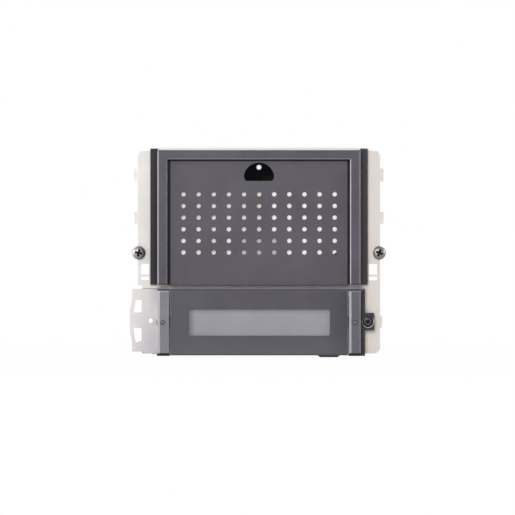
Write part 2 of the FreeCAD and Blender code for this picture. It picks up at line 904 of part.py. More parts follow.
def status_led():
    """Light on the front of the main board, behind the light pipe."""
    return centred_block(0, pipe_z, led_width, led_height, board_front - led_thick, board_front)


def button_board():
    """Narrow board with the two call switches and the lights behind the name card."""
    return block(-lower_board_half, lower_board_half, lower_board_gap, lower_board_back, lower_board_foot,
                 lower_board_top)


def call_switches():
    """Two square tactile switches, one behind each call button bar."""
    seat_back = switch_front + plunger_seat + bar_travel
    cases = []
    for side in (-1, 1):
        x = side * switch_x
        case = centred_block(x, switch_z, switch_size, switch_size, switch_front, lower_board_gap)
        cases.append(case.cut(prism(x, switch_z, plunger_r + plunger_clear, switch_front, seat_back)))
    return Part.makeCompound(cases)


def switch_plunger(side):
    """Plunger of one call switch, which the bar in front of it presses."""
    return prism(side * switch_x, switch_z, plunger_r, plunger_tip, switch_front + plunger_seat)


def card_backlights():
    """Row of lights on the button board that light the name card from behind."""
    start = -backlight_pitch * (backlight_count - 1) / 2
    return Part.makeCompound([centred_block(start + i * backlight_pitch, door_mid, led_width, led_height,
                                            lower_board_gap - led_thick, lower_board_gap)
                              for i in range(backlight_count)])


def glow_plate():
    """Opal plate in the chassis that spreads the light behind the name card."""
    return centred_block(0, door_mid, glow_width, glow_height, plate_front, plate_front + glow_thick)


def board_link():
    """Pin header that joins the button board to the main board."""
    return centred_block(0, lower_board_top - header_inset, header_pins * header_pitch, header_width,
                         lower_board_back, board_front)


def terminal_centres():
    """X of each way of the terminal block."""
    pitch = terminal_width / terminal_ways
    start = terminal_x - terminal_width / 2 + pitch / 2
    return [start + i * pitch for i in range(terminal_ways)]


def terminal_block():
    """Screw terminal block with a row of wire mouths, open to the rear."""
    back = cover_back - terminal_setback
    screw_front = back - terminal_screw_sink - terminal_screw_height
    mouth_z = terminal_z - terminal_height / 2 + wire_mouth_rise + wire_mouth_height / 2
    body = centred_block(terminal_x, terminal_z, terminal_width, terminal_height, board_back, back)
    cuts = []
    for x in terminal_centres():
        cuts.append(centred_block(x, mouth_z, wire_mouth_width, wire_mouth_height,
                                  back - wire_mouth_depth, back))
        cuts.append(prism(x, terminal_screw_z, terminal_screw_r, screw_front, back))
    return body.cut(cuts)


def terminal_screws():
    """Slotted clamping screws of the terminal block."""
    back = cover_back - terminal_setback - terminal_screw_sink
    screws = []
    for x in terminal_centres():
        head = prism(x, terminal_screw_z, terminal_screw_r, back - terminal_screw_height, back)
        screws.append(head.cut(centred_block(x, terminal_screw_z, 2 * terminal_screw_r, terminal_slot_width,
                                             back - terminal_slot_depth, back)))
    return Part.makeCompound(screws)


def socket_places():
    """Centres of the two link sockets, one above the other."""
    return [(socket_x, socket_high_z), (socket_x, socket_low_z)]


def link_sockets():
    """Two open-backed link sockets for the leads to the next modules."""
    back = cover_back - socket_setback
    floor = board_back + socket_floor
    cases = []
    for x, z in socket_places():
        body = centred_block(x, z, socket_width, socket_height, board_back, back)
        hollow = centred_block(x, z, socket_width - 2 * socket_wall, socket_height - 2 * socket_wall,
                               floor, back)
        key = centred_block(x, z + (socket_height - socket_wall) / 2, socket_key_width, socket_wall,
                            floor + socket_key_setback, back)
        cases.append(body.cut([hollow, key]))
    return Part.makeCompound(cases)


def link_contacts():
    """Square contact pins standing in the link sockets."""
    start = -contact_pitch * (contact_columns - 1) / 2
    front = board_back + socket_floor
    pins = []
    for x, z in socket_places():
        for i in range(contact_columns):
            for row in (-1, 1):
                pins.append(centred_block(x + start + i * contact_pitch, z + row * contact_pitch / 2,
                                          contact_width, contact_width, front, front + contact_length))
    return Part.makeCompound(pins)


def trimmer_bodies():
    """Square cases of the two trimmers, each with a round seat for its rotor."""
    back = board_back + trimmer_thick
    cases = []
    for x in (volume_x, microphone_x):
        case = centred_block(x, trimmer_z, trimmer_size, trimmer_size, board_back, back)
        cases.append(case.cut(prism(x, trimmer_z, rotor_r + rotor_clear, back - rotor_seat, back, SIDES)))
    return Part.makeCompound(cases)


def trimmer_rotor(x):
    """Slotted rotor of one trimmer, reached through the rear cover."""
    front = board_back + trimmer_thick - rotor_seat
    back = cover_back - rotor_setback
    body = prism(x, trimmer_z, rotor_r, front, back, SIDES)
    return body.cut(centred_block(x, trimmer_z, 2 * rotor_r, rotor_slot_width, back - rotor_slot_depth, back))


def cover_ports():
    """Openings in the rear cover for the terminals, the link sockets and the trimmers."""
    ports = [centred_block(terminal_x, terminal_z, terminal_width + 2 * port_clear,
                           terminal_height + 2 * port_clear, tub_back, cover_back)]
    for x, z in socket_places():
        ports.append(centred_block(x, z, socket_width + 2 * port_clear, socket_height + 2 * port_clear,
                                   tub_back, cover_back))
    ports += [prism(x, trimmer_z, rotor_r + port_clear, tub_back, cover_back, SIDES)
              for x in (volume_x, microphone_x)]
    return ports


def rear_cover():
    """Moulded tray with screw posts that closes the housing from behind."""
    outer = rounded_block(-tub_half, tub_half, tub_back, cover_back, tub_foot, tub_top, tub_corner_r)
    outer = bevelled(outer, cover_back, cover_edge_chamfer)
    inner_r = tub_corner_r - tub_wall
    inner = rounded_block(tub_wall - tub_half, tub_half - tub_wall, tub_back, cover_back - cover_thick,
                          tub_foot + tub_wall, tub_top - tub_wall, inner_r)
    out = tub_wall + lip_clear
    deep = out + cover_lip_thick
    lip_front = tub_back - cover_lip
    lip_back = tub_back + tub_wall
    lip = rounded_block(out - tub_half, tub_half - out, lip_front, lip_back, tub_foot + out,
                        tub_top - out, inner_r)
    lip = lip.cut(block(deep - tub_half, tub_half - deep, lip_front, lip_back, tub_foot + deep,
                        tub_top - deep))
    posts = [prism(x, z, cover_post_r, board_back, cover_back - cover_thick) for x, z in cover_boss_places()]
    cuts = cover_ports()
    for x, z in cover_boss_places():
        cuts.append(prism(x, z, cover_screw_r + cover_hole_clear, board_back, cover_back))
        cuts.append(prism(x, z, cover_head_r + cover_hole_clear, cover_screw_seat, cover_back, SIDES))
    return joined([outer.cut(inner), lip] + posts).cut(cuts)


def cover_screws():
    """Four screws that hold the rear cover and the main board."""
    screws = []
    for x, z in cover_boss_places():
        shank = prism(x, z, cover_screw_r, board_front - thread_bite, cover_screw_seat)
        head = prism(x, z, cover_head_r, cover_screw_seat, cover_screw_seat + cover_head_height, SIDES)
        screws.append(joined([shank, head]))
    return Part.makeCompound(screws)


def mounting_screws():
    """Two M3 pan head screws, with a thinner neck in the plate, that fix the module to its frame."""
    crown = plate_front - fix_head_height
    profile = [(0, crown), (fix_crown_r, crown), (fix_head_r, crown + fix_head_dome),
               (fix_head_r, plate_front), (0, plate_front)]
    screws = []
    for x in (-screw_x, screw_x):
        neck = prism(x, 0, fix_neck_r, plate_front, 0, SIDES)
        thread = peg(x, 0, fix_screw_r, 0, fix_thread_length)
        screws.append(joined([faceted(x, 0, profile, SIDES), neck, thread]).cut(cross_recess(x, 0, crown)))
    return Part.makeCompound(screws)


def stake_places():
    """X and Z of the heat stakes that hold the hinge leaf."""
    return [(-half_width + leaf_neck + stake_inset, door_mid + rise) for rise in stake_rises]


def leaf_hole(front, back):
    """Locating hole through the leaf and the plate."""
    return peg(-half_width + leaf_hole_inset, door_mid + leaf_hole_rise, leaf_hole_r, front, back)


def leaf_stakes():
    """Stakes behind the leaf, with their melted heads."""
    stakes = [prism(x, z, stake_r, -leaf_seat, 0) for x, z in stake_places()]
    return stakes + [prism(x, z, stake_head_r, -stake_head_thick, 0) for x, z in stake_places()]


def leaf_seat_cuts():
    """Step for the leaf in the chassis front, with the stakes' holes and the locating hole."""
    step = block(-half_width - leaf_reach, leaf_right + leaf_recess_clear, plate_front, -leaf_seat,
                 plate_foot - leaf_reach, door_top + leaf_recess_clear)
    return [step, leaf_hole(plate_front, 0)] + leaf_stakes()


def leaf_outline():
    """Bulging outer edge and stepped foot of the hinge leaf."""
    outer = -half_width - leaf_reach
    shoulder = outer + leaf_shoulder
    points = [(leaf_right, door_top), (shoulder, door_top), (shoulder, door_mid + leaf_top_slope[0]),
              (outer, door_mid + leaf_top_slope[1]), (outer, door_mid - leaf_foot_slope[0]),
              (shoulder, door_mid - leaf_foot_slope[1])]
    edge = shoulder
    for inset, rise in leaf_steps:
        step_x = inset - half_width if inset else leaf_right
        points += [(edge, door_foot + rise), (step_x, door_foot + rise)]
        edge = step_x
    return slab(points, leaf_front, -leaf_seat)


def leaf_windows():
    """Two windows in the leaf that follow its bulging outer edge."""
    right = -half_width + leaf_window_inset
    outer = -half_width - leaf_reach + leaf_strip
    inner = outer + leaf_shoulder
    high_foot = door_mid + leaf_bar_high
    high_top = high_foot + leaf_window_height
    low_top = door_mid - leaf_bar_low
    low_foot = low_top - leaf_window_height
    high = [(right, high_foot), (outer, high_foot), (inner, high_top), (right, high_top)]
    low = [(right, low_top), (outer, low_top), (inner, low_foot - leaf_window_skew), (right, low_foot)]
    return [slab(high, leaf_front, -leaf_seat), slab(low, leaf_front, -leaf_seat)]


def barrel_spans():
    """Z limits of the leaf's two barrels, above and below the door's knuckle."""
    end = end_ledge_height + barrel_gap
    middle = knuckle_height / 2 + barrel_gap
    return [(door_foot + end, door_mid - middle), (door_mid + middle, door_top - end)]


def hinge_leaf():
    """Pale hinge leaf, staked to the chassis, with two barrels round the hinge pin."""
    pieces = [leaf_outline()] + leaf_stakes()
    for foot, top in barrel_spans():
        pieces.append(upright(hinge_x, hinge_y, barrel_r, foot, top))
        pieces.append(block(hinge_x - barrel_r, leaf_right, hinge_y, -leaf_seat, foot, top))
    bore = upright(hinge_x, hinge_y, hinge_pin_r + hinge_run_clear, door_foot, door_top)
    return joined(pieces).cut([bore, leaf_hole(leaf_front, -leaf_seat)] + leaf_windows())


def hinge_pin():
    """Steel pin, held in the door's knuckle and end eyes, that turns in the leaf's barrels."""
    return upright(hinge_x, hinge_y, hinge_pin_r, door_foot + pin_end_gap, door_top - pin_end_gap)


def lock_strike():
    """Steel disc in the chassis whose slot lets the lock's blade through."""
    disc = prism(lock_x, lock_z, strike_r, plate_front, strike_back, SIDES)
    hole = prism(lock_x, lock_z, spindle_r + strike_clear, plate_front, strike_back)
    slot = centred_block(lock_x, lock_z, lock_blade_width + 2 * strike_clear,
                         lock_blade_length + 2 * strike_clear, plate_front, strike_back)
    return disc.cut([hole, slot])


def door_shell():
    """Base strip, raised panel and lock tab of the door, hollow behind the name card."""
    base = block(door_left, door_right, door_base_front, door_back, door_foot, door_top)
    panel = block(-panel_half, panel_half, door_front, door_back, door_foot, door_top)
    panel = bevelled(panel, door_front, door_panel_chamfer)
    tab = block(bar_outer, lock_x + tab_right, door_base_front, door_back,
                lock_z - tab_height / 2, lock_z + tab_height / 2)
    hollow = block(door_wall - panel_half, panel_half - door_wall, door_front + door_wall, door_back,
                   door_foot + door_wall, door_top - door_wall)
    return joined([base, panel, tab]).cut(hollow)


def door_ends():
    """Ledges above and below the bars, with the eyes that hold the hinge pin's ends."""
    ledge_front = door_back - end_ledge_proud
    eye_back = hinge_y + knuckle_r
    pieces = []
    for foot in (door_foot, door_top - end_ledge_height):
        top = foot + end_ledge_height
        pieces.append(block(hinge_x, -panel_half, ledge_front, eye_back, foot, top))
        pieces.append(block(panel_half, door_right, ledge_front, door_back, foot, top))
        pieces.append(upright(hinge_x, hinge_y, knuckle_r, foot, top))
    half = knuckle_height / 2
    pieces.append(upright(hinge_x, hinge_y, knuckle_r, door_mid - half, door_mid + half))
    pieces.append(block(hinge_x, door_left + knuckle_web, hinge_y, eye_back, door_mid - half,
                        door_mid + half))
    return pieces


def pull_lug():
    """Small lug under the door's foot for a fingernail."""
    left = pull_lug_x - pull_lug_width / 2
    right = pull_lug_x + pull_lug_width / 2
    foot = door_foot - pull_lug_reach
    return slab([(left, door_foot), (left + pull_lug_taper, foot), (right - pull_lug_taper, foot),
                 (right, door_foot)], door_back - pull_lug_thick, door_back)


def door_frame():
    """Dark door moulding with the card window, the bars' slots, the hinge eyes and the lock tab."""
    frame = joined([door_shell(), pull_lug()] + door_ends())
    half_w = window_width / 2
    half_h = window_height / 2
    cuts = [rounded_block(-half_w, half_w, door_front, door_front + door_wall, door_mid - half_h,
                          door_mid + half_h, window_corner_r)]
    cuts.append(layer(door_front + lens_recess, door_wall - lens_recess, lens_margin))
    for side in (-1, 1):
        cuts += bar_slots(side)
        cuts.append(side_block(side, panel_half - side_notch_depth, panel_half, door_front, door_base_front,
                               door_mid - side_notch_height / 2, door_mid + side_notch_height / 2))
    cuts.append(upright(hinge_x, hinge_y, hinge_pin_r, door_foot + pin_end_gap, door_top - pin_end_gap))
    cuts.append(prism(lock_x, lock_z, ferrule_r, door_base_front, ferrule_back, FINE_SIDES))
    cuts.append(prism(lock_x, lock_z, tab_hole_r, ferrule_back, door_back))
    cuts += retainer_nibs(seat_clear)
    return frame.cut(cuts)


def bar_slots(side):
    """Two slots in the door for one bar's stems, with room behind for the stems' hooks."""
    relief_front = stem_back - bar_hook_thick - seat_clear
    relief_end = slot_end + bar_hook + relief_clear
    cuts = []
    for way in (-1, 1):
        near = door_mid + way * bar_bridge / 2
        far = door_mid + way * slot_end
        end = door_mid + way * relief_end
        cuts.append(side_block(side, slot_inner, slot_outer, door_base_front, door_back, min(near, far),
                               max(near, far)))
        cuts.append(side_block(side, slot_inner, slot_outer, relief_front, door_back, min(far, end),
                               max(far, end)))
    return cuts


def call_bar(side):
    """Call button bar: a bevelled cap on two stems with retaining hooks at their outer ends."""
    cap = side_block(side, bar_inner, bar_outer, bar_front, bar_cap_back, bar_foot, bar_top)
    pieces = [bevelled(cap, bar_front, bar_chamfer)]
    inner = slot_inner + bar_stem_clear
    outer = slot_outer - bar_stem_clear
    for way in (-1, 1):
        near = door_mid + way * (bar_bridge / 2 + bar_stem_clear)
        far = door_mid + way * (slot_end - bar_stem_clear)
        tip = far + way * bar_hook
        pieces.append(side_block(side, inner, outer, bar_cap_back, stem_back, min(near, far), max(near, far)))
        pieces.append(side_block(side, inner, outer, stem_back - bar_hook_thick, stem_back, min(far, tip),
                                 max(far, tip)))
    pieces.append(side_block(side, inner, outer, stem_back, bar_tip, switch_z - bar_nose / 2,
                             switch_z + bar_nose / 2))
    hole = prism(side * bar_x, door_mid, light_r + light_clear, bar_front, bar_cap_back, SIDES)
    return joined(pieces).cut(hole)


def bar_light(side):
    """Smoked light point in the middle of a call button bar."""
    return prism(side * bar_x, door_mid, light_r, bar_front + light_recess, bar_cap_back, SIDES)


def layer(front, thick, margin):
    """One flat layer of the card pack, larger than the window by a margin."""
    return centred_block(0, door_mid, window_width + 2 * margin, window_height + 2 * margin, front,
                         front + thick)


def card_window():
    """Frosted window in front of the name card."""
    return layer(lens_front, lens_thick, lens_margin - stack_clear)


def name_card():
    """Blank name card."""
    return layer(card_front, card_thick, lens_margin - card_inset)


def card_diffuser():
    """Opal sheet behind the name card."""
    return layer(diffuser_front, diffuser_thick, lens_margin - diffuser_inset)


def retainer_nibs(grow):
    """Four nibs at the retainer's long edges, or with a clearance the pockets that take them."""
    nibs = []
    reach = door_height / 2 - door_wall
    for x in (-retainer_nib_x, retainer_nib_x):
        half = retainer_nib_width / 2 + grow
        edge = reach + retainer_nib + grow - retainer_clear
        nibs.append(block(x - half, x + half, retainer_front - grow, retainer_front + retainer_thick + grow,
                          door_mid - edge, door_mid + edge))
    return nibs


def card_retainer():
    """Frame that snaps in behind the card pack."""
    wall = door_wall + retainer_clear
    outer = block(wall - panel_half, panel_half - wall, retainer_front, retainer_front + retainer_thick,
                  door_foot + wall, door_top - wall)
    hole = layer(retainer_front, retainer_thick, -retainer_rim)
    return joined([outer] + retainer_nibs(0)).cut(hole)


def lock_ferrule():
    """Turned ferrule in the lock tab, with a bright bevelled rim."""
    floor = ferrule_back - ferrule_floor
    bore = spindle_r + spindle_clear
    return faceted(lock_x, lock_z, [
        (bore, ferrule_back), (ferrule_r, ferrule_back), (ferrule_r, ferrule_front + ferrule_bevel),
        (ferrule_r - ferrule_bevel, ferrule_front), (ferrule_bore_r, ferrule_front), (ferrule_bore_r, floor),
        (bore, floor)])


def lock_spindle():
    """Quarter turn lock: a socket head, a spindle and a blade that turns behind the strike."""
    blade_back = blade_front + lock_blade_thick
    body = faceted(lock_x, lock_z, [
        (0, lock_crown), (lock_head_r - lock_head_bevel, lock_crown),
        (lock_head_r, lock_crown + lock_head_bevel), (lock_head_r, lock_seat), (spindle_r, lock_seat),
        (spindle_r, blade_back), (0, blade_back)])
    blade = centred_block(lock_x, lock_z, lock_blade_width, lock_blade_length, blade_front, blade_back)
    socket = prism(lock_x, lock_z, lock_socket_r, lock_crown, lock_crown + lock_socket_depth, hexagon)
    return joined([body, blade]).cut(socket)


def build():
    """Every sub-part under its node's name."""
    return {
        "chassis": chassis(),
        "upper_frame": upper_frame(),
        "grille_panel": grille_panel(),
        "status_window": status_window(),
        "status_light_pipe": status_light_pipe(),
        "speaker_fleece": speaker_fleece(),
        "vent_fleeces": vent_fleeces(),
        "microphone_boot": microphone_boot(),
        "microphone_capsule": microphone_capsule(),
        "speaker_basket": speaker_basket(),
        "speaker_gasket": speaker_gasket(),
        "speaker_cone": speaker_cone(),
        "speaker_magnet": speaker_magnet(),
        "main_board": main_board(),
        "board_chips": board_chips(),
        "board_capacitors": board_capacitors(),
        "line_coil": line_coil(),
        "status_led": status_led(),
        "button_board": button_board(),
        "call_switches": call_switches(),
        "left_switch_plunger": switch_plunger(-1),
        "right_switch_plunger": switch_plunger(1),
        "card_backlights": card_backlights(),
        "glow_plate": glow_plate(),
        "board_link": board_link(),
        "terminal_block": terminal_block(),
        "terminal_screws": terminal_screws(),
        "link_sockets": link_sockets(),
        "link_contacts": link_contacts(),
        "trimmer_bodies": trimmer_bodies(),
        "volume_rotor": trimmer_rotor(volume_x),
        "microphone_rotor": trimmer_rotor(microphone_x),
        "rear_cover": rear_cover(),
        "cover_screws": cover_screws(),
        "mounting_screws": mounting_screws(),
        "hinge_leaf": hinge_leaf(),
        "hinge_pin": hinge_pin(),
        "lock_strike": lock_strike(),
        "door_frame": door_frame(),
        "left_call_button": call_bar(-1),
        "right_call_button": call_bar(1),
        "left_button_light": bar_light(-1),
        "right_button_light": bar_light(1),
        "card_window": card_window(),
        "name_card": name_card(),
        "card_diffuser": card_diffuser(),
        "card_retainer": card_retainer(),
        "lock_ferrule": lock_ferrule(),
        "lock_spindle": lock_spindle(),
    }


os.makedirs("parts", exist_ok=True)
for node, shape in build().items():
    shape.exportStep("parts/" + node + ".step")
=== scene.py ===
import math

import bmesh
import bpy
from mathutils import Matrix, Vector


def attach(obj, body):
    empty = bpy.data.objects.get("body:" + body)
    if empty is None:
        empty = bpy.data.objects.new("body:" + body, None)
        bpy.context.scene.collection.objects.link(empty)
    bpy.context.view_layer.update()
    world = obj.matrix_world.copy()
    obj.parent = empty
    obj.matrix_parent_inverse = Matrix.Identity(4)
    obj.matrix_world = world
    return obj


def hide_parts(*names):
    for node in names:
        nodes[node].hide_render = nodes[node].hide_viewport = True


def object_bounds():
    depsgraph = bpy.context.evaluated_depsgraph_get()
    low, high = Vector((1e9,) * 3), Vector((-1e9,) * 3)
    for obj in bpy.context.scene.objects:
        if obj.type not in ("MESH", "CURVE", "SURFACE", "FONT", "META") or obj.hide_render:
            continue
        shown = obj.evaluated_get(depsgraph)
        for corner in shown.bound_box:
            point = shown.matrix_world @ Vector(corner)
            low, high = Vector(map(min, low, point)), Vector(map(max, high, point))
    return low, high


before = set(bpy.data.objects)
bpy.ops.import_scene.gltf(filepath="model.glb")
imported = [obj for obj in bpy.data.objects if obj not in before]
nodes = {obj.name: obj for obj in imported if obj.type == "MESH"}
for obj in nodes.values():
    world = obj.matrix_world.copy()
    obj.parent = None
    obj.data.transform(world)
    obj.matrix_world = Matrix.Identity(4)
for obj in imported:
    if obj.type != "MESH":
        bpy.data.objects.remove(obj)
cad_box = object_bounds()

bpy.ops.object.select_all(action="DESELECT")


# The chassis is one injection moulding in white polycarbonate: the flat plate that seats on the
# wall frame, with its lugs, screw ears and hook windows, and the housing walls behind it. Its
# skin has a fine spark-eroded grain, and the tool breaks its edges.
MM = 0.001
WELD = 0.001
SHELL_WHITE = (0.73, 0.705, 0.68)
SHELL_EDGE = 0.12
SHELL_TINTS = [
    # warmer and a little darker to the right, as painted shade; whiter, as painted light, on the
    # pads behind the sound holes and along the top edge
    ("X", (-20, 56), (0.72, 0.66, 0.615)),
    ("Y", (-4.4, -4.55), (0.97, 0.93, 0.89)),
    ("Z", (43.9, 44.1), (0.97, 0.95, 0.93)),
    # painted shade on the strip between the grille and the name plate door
    ("Z", (-15.9, -15.7, -13.9, -13.7), (0.685, 0.61, 0.64),
     ("X", (-38.7, -37.5, 46.6, 46.8)), ("Y", (-0.6, -1.0)))]
DUST_GREY = (0.62, 0.60, 0.58)


def alone(piece):
    """Leave one piece selected and active."""
    bpy.ops.object.select_all(action="DESELECT")
    piece.select_set(True)
    bpy.context.view_layer.objects.active = piece


def keep_place(piece, name):
    """Name a piece and move its place, turn and size into its mesh."""
    alone(piece)
    bpy.ops.object.transform_apply(location=True, rotation=True, scale=True)
    piece.name = name
    piece.data.name = name
    return piece


def recast(node, name):
    """A bare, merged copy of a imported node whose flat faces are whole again."""
    piece = nodes[node].copy()
    piece.data = nodes[node].data.copy()
    for key in list(piece.keys()):
        del piece[key]
    bpy.context.scene.collection.objects.link(piece)
    piece.parent = None
    piece.data.materials.clear()
    alone(piece)
    bpy.ops.object.mode_set(mode="EDIT")
    bpy.ops.mesh.select_all(action="SELECT")
    bpy.ops.mesh.customdata_custom_splitnormals_clear()
    bpy.ops.mesh.remove_doubles(threshold=2 * WELD * MM)
    bpy.ops.mesh.dissolve_limited(angle_limit=math.radians(1.5))
    bpy.ops.object.mode_set(mode="OBJECT")
    return keep_place(piece, name)


def soften(piece, width, sharp=30):
    """Round every sharp edge by a small width in millimetres and shade the rest smooth."""
    edge = piece.modifiers.new("edges", "BEVEL")
    edge.width = width * MM
    edge.segments = 2
    edge.limit_method = "ANGLE"
    edge.angle_limit = math.radians(sharp)
    edge.harden_normals = True
    alone(piece)
    bpy.ops.object.shade_smooth()
    bpy.ops.object.modifier_apply(modifier=edge.name)
    return piece


def started(name):
    """A new material: itself, its nodes, a link function, the main shader and the place input."""
    material = bpy.data.materials.new(name)
    material.use_nodes = True
    made = material.node_tree.nodes
    place = made.new("ShaderNodeTexCoord").outputs["Object"]
    return material, made, material.node_tree.links.new, made["Principled BSDF"], place


def noise(made, link, place, scale, detail=3.0, roughness=0.5):
    """Noise that lies still on the piece, with its scale per metre."""
    texture = made.new("ShaderNodeTexNoise")
    texture.inputs["Scale"].default_value = scale
    texture.inputs["Detail"].default_value = detail
    texture.inputs["Roughness"].default_value = roughness
    link(place, texture.inputs["Vector"])
    return texture.outputs["Fac"]


def stretched(made, link, source, low, high, start=0.35, end=0.65):
    """One span of a value, stretched to run from low to high."""
    span = made.new("ShaderNodeMapRange")
    span.inputs["From Min"].default_value = start
    span.inputs["From Max"].default_value = end
    span.inputs["To Min"].default_value = low
    span.inputs["To Max"].default_value = high
    link(source, span.inputs["Value"])
    return span.outputs["Result"]


def blended(made, link, factor, first, second):
    """Two colours, or colour outputs, mixed by a factor."""
    mix = made.new("ShaderNodeMix")
    mix.data_type = "RGBA"
    link(factor, mix.inputs["Factor"])
    for value, socket in ((first, mix.inputs["A"]), (second, mix.inputs["B"])):
        if isinstance(value, (tuple, list)):
            socket.default_value = (*value[:3], 1)
        else:
            link(value, socket)
    return mix.outputs["Result"]


def shade_of(colour, share):
    """A colour made lighter or darker by a share."""
    return tuple(min(1.0, c * share) for c in colour)


def rough_skin(made, link, shader, place, scale, height, strength=0.3, detail=2.0):
    """Fine relief of a given height in millimetres."""
    relief = made.new("ShaderNodeBump")
    relief.inputs["Strength"].default_value = strength
    relief.inputs["Distance"].default_value = height * MM
    link(noise(made, link, place, scale, detail), relief.inputs["Height"])
    link(relief.outputs["Normal"], shader.inputs["Normal"])


def rubbed_and_lit_edges(made, link, radius):
    """A mask that is 1 where the surface turns within a radius in millimetres, and 0 elsewhere."""
    turned = made.new("ShaderNodeBevel")
    turned.samples = 6
    turned.inputs["Radius"].default_value = radius * MM
    flat = made.new("ShaderNodeNewGeometry")
    match = made.new("ShaderNodeVectorMath")
    match.operation = "DOT_PRODUCT"
    link(turned.outputs["Normal"], match.inputs[0])
    link(flat.outputs["True Normal"], match.inputs[1])
    return stretched(made, link, match.outputs["Value"], 1, 0, 0.80, 0.985)


def product(made, link, first, second):
    """Two shares multiplied."""
    both = made.new("ShaderNodeMath")
    both.operation = "MULTIPLY"
    link(first, both.inputs[0])
    link(second, both.inputs[1])
    return both.outputs["Value"]


def moulding(name, colour, rough=0.45, cloud=0.05, grain=7000, height=0.02, rub_and_sheen=0.0,
             rub_and_sheen_light=1.5, gloss=0.5, dust=0.0):
    """Moulded plastic: a cloudy tint, an eroded grain, and edges lightened by wear and painted
    highlight.
    """
    material, made, link, shader, place = started(name)
    clouds = stretched(made, link, noise(made, link, place, 70, 4), 0, 1)
    tint = blended(made, link, clouds, shade_of(colour, 1 - cloud), shade_of(colour, 1 + cloud))
    skin = stretched(made, link, noise(made, link, place, 300, 5), rough - 0.05, rough + 0.07)
    if rub_and_sheen:
        patchy = stretched(made, link, noise(made, link, place, 900, 3), 0.35, 1)
        mask = product(made, link, rubbed_and_lit_edges(made, link, rub_and_sheen), patchy)
        tint = blended(made, link, mask, tint, shade_of(colour, rub_and_sheen_light))
    if dust:
        specks = stretched(made, link, noise(made, link, place, 560, 1.5), 0, dust, 0.765, 0.84)
        tint = blended(made, link, specks, tint, DUST_GREY)
    link(tint, shader.inputs["Base Color"])
    link(skin, shader.inputs["Roughness"])
    rough_skin(made, link, shader, place, grain, height)
    shader.inputs["Specular IOR Level"].default_value = gloss
    return material


def along(made, link, place, axis):
    """The place along X, Y or Z, or for "away" how far it is from the middle, to either side."""
    split = made.new("ShaderNodeSeparateXYZ")
    link(place, split.inputs["Vector"])
    if axis != "away":
        return split.outputs[axis]
    far = made.new("ShaderNodeMath")
    far.operation = "ABSOLUTE"
    link(split.outputs["X"], far.inputs[0])
    return far.outputs["Value"]


def between(made, link, place, axis, levels):
    """A share that is 1 past a pair of levels in millimetres, or between two pairs of them."""
    way = along(made, link, place, axis)
    share = stretched(made, link, way, 0, 1, levels[0] * MM, levels[1] * MM)
    if len(levels) > 2:
        share = product(made, link, share,
                        stretched(made, link, way, 1, 0, levels[2] * MM, levels[3] * MM))
    return share


def tinted(material, tints):
    """Change a tint by place: each row has an axis, its levels, a colour and other limits."""
    made = material.node_tree.nodes
    link = material.node_tree.links.new
    place = made["Texture Coordinate"].outputs["Object"]
    tint = made["Principled BSDF"].inputs["Base Color"]
    for axis, levels, colour, *limits in tints:
        share = between(made, link, place, axis, levels)
        for other, span in limits:
            share = product(made, link, share, between(made, link, place, other, span))
        link(blended(made, link, share, tint.links[0].from_socket, colour), tint)
    return material


def dress(piece, material):
    """Give a piece one material all over."""
    if not piece.data.materials:
        piece.data.materials.append(material)
    for slot in piece.material_slots:
        slot.material = material


white_shell = tinted(moulding("white shell", SHELL_WHITE, rough=0.5, rub_and_sheen=0.2, rub_and_sheen_light=1.08),
                     SHELL_TINTS)
shell = soften(recast("chassis", "moulded_chassis"), SHELL_EDGE)
dress(shell, white_shell)
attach(shell, "module_body")
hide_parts("chassis")


# Two M3 pan head screws in zinc plated steel fix the module to its wall frame. The heads are
# cold formed with a cross recess, the necks are thin so that the plate keeps the screws, and
# the threads are rolled.
SCREW_X = 51.8
HEAD_FRONT = -4.12
HEAD_BACK = -2.02
HEAD_PROFILE = [(0, HEAD_FRONT), (0.9, -4.08), (1.7, -3.88), (2.35, -3.5), (2.72, -3.0),
                (2.88, -2.45), (2.9, HEAD_BACK)]
NECK_RADIUS = 1.3
THREAD_ROOT = 1.2
THREAD_CREST = 1.5
THREAD_START = 0.4
THREAD_PITCH = 0.5
THREAD_TURNS = 18
THREAD_END = 10.0
END_CHAMFER = 0.3
RECESS_ARM = 1.6
RECESS_WIDTH = 0.95
RECESS_DEPTH = 1.7
RECESS_TAPER = (0.35, 1, 0.7)
RECESS_TURN = math.radians(17)
SCREW_TINTS = [
    # painted highlights on the left head's outer side, then the right head's inner side and its rim
    ("X", (-51.9, -53.6), (0.38, 0.37, 0.36)),
    ("X", (48.8, 48.9, 50.0, 51.4), (0.42, 0.405, 0.395)),
    ("X", (48.8, 48.85, 49.4, 50.0), (0.92, 0.90, 0.89))]


def block(name, x, y, z):
    """A cube that fills the space between two levels on each axis, in millimetres."""
    bpy.ops.object.select_all(action="DESELECT")
    bpy.ops.mesh.primitive_cube_add(size=1, location=[MM * sum(span) / 2 for span in (x, y, z)])
    piece = bpy.context.active_object
    piece.scale = [MM * (high - low) for low, high in (x, y, z)]
    return keep_place(piece, name)


def rod(name, x, z, radius, y, sides=48):
    """A round bar along Y between two levels, in millimetres."""
    bpy.ops.object.select_all(action="DESELECT")
    bpy.ops.mesh.primitive_cylinder_add(
        vertices=sides, radius=radius * MM, depth=(y[1] - y[0]) * MM,
        location=(x * MM, sum(y) / 2 * MM, z * MM), rotation=(math.pi / 2, 0, 0))
    return keep_place(bpy.context.active_object, name)


def combine(piece, way, tools):
    """Join tools to a piece with UNION, or cut them from it with DIFFERENCE."""
    for tool in tools:
        step = piece.modifiers.new(way, "BOOLEAN")
        step.operation = way
        step.solver = "EXACT"
        step.material_mode = "TRANSFER"
        step.object = tool
        alone(piece)
        bpy.ops.object.modifier_apply(modifier=step.name)
        bpy.data.objects.remove(tool)
    return piece


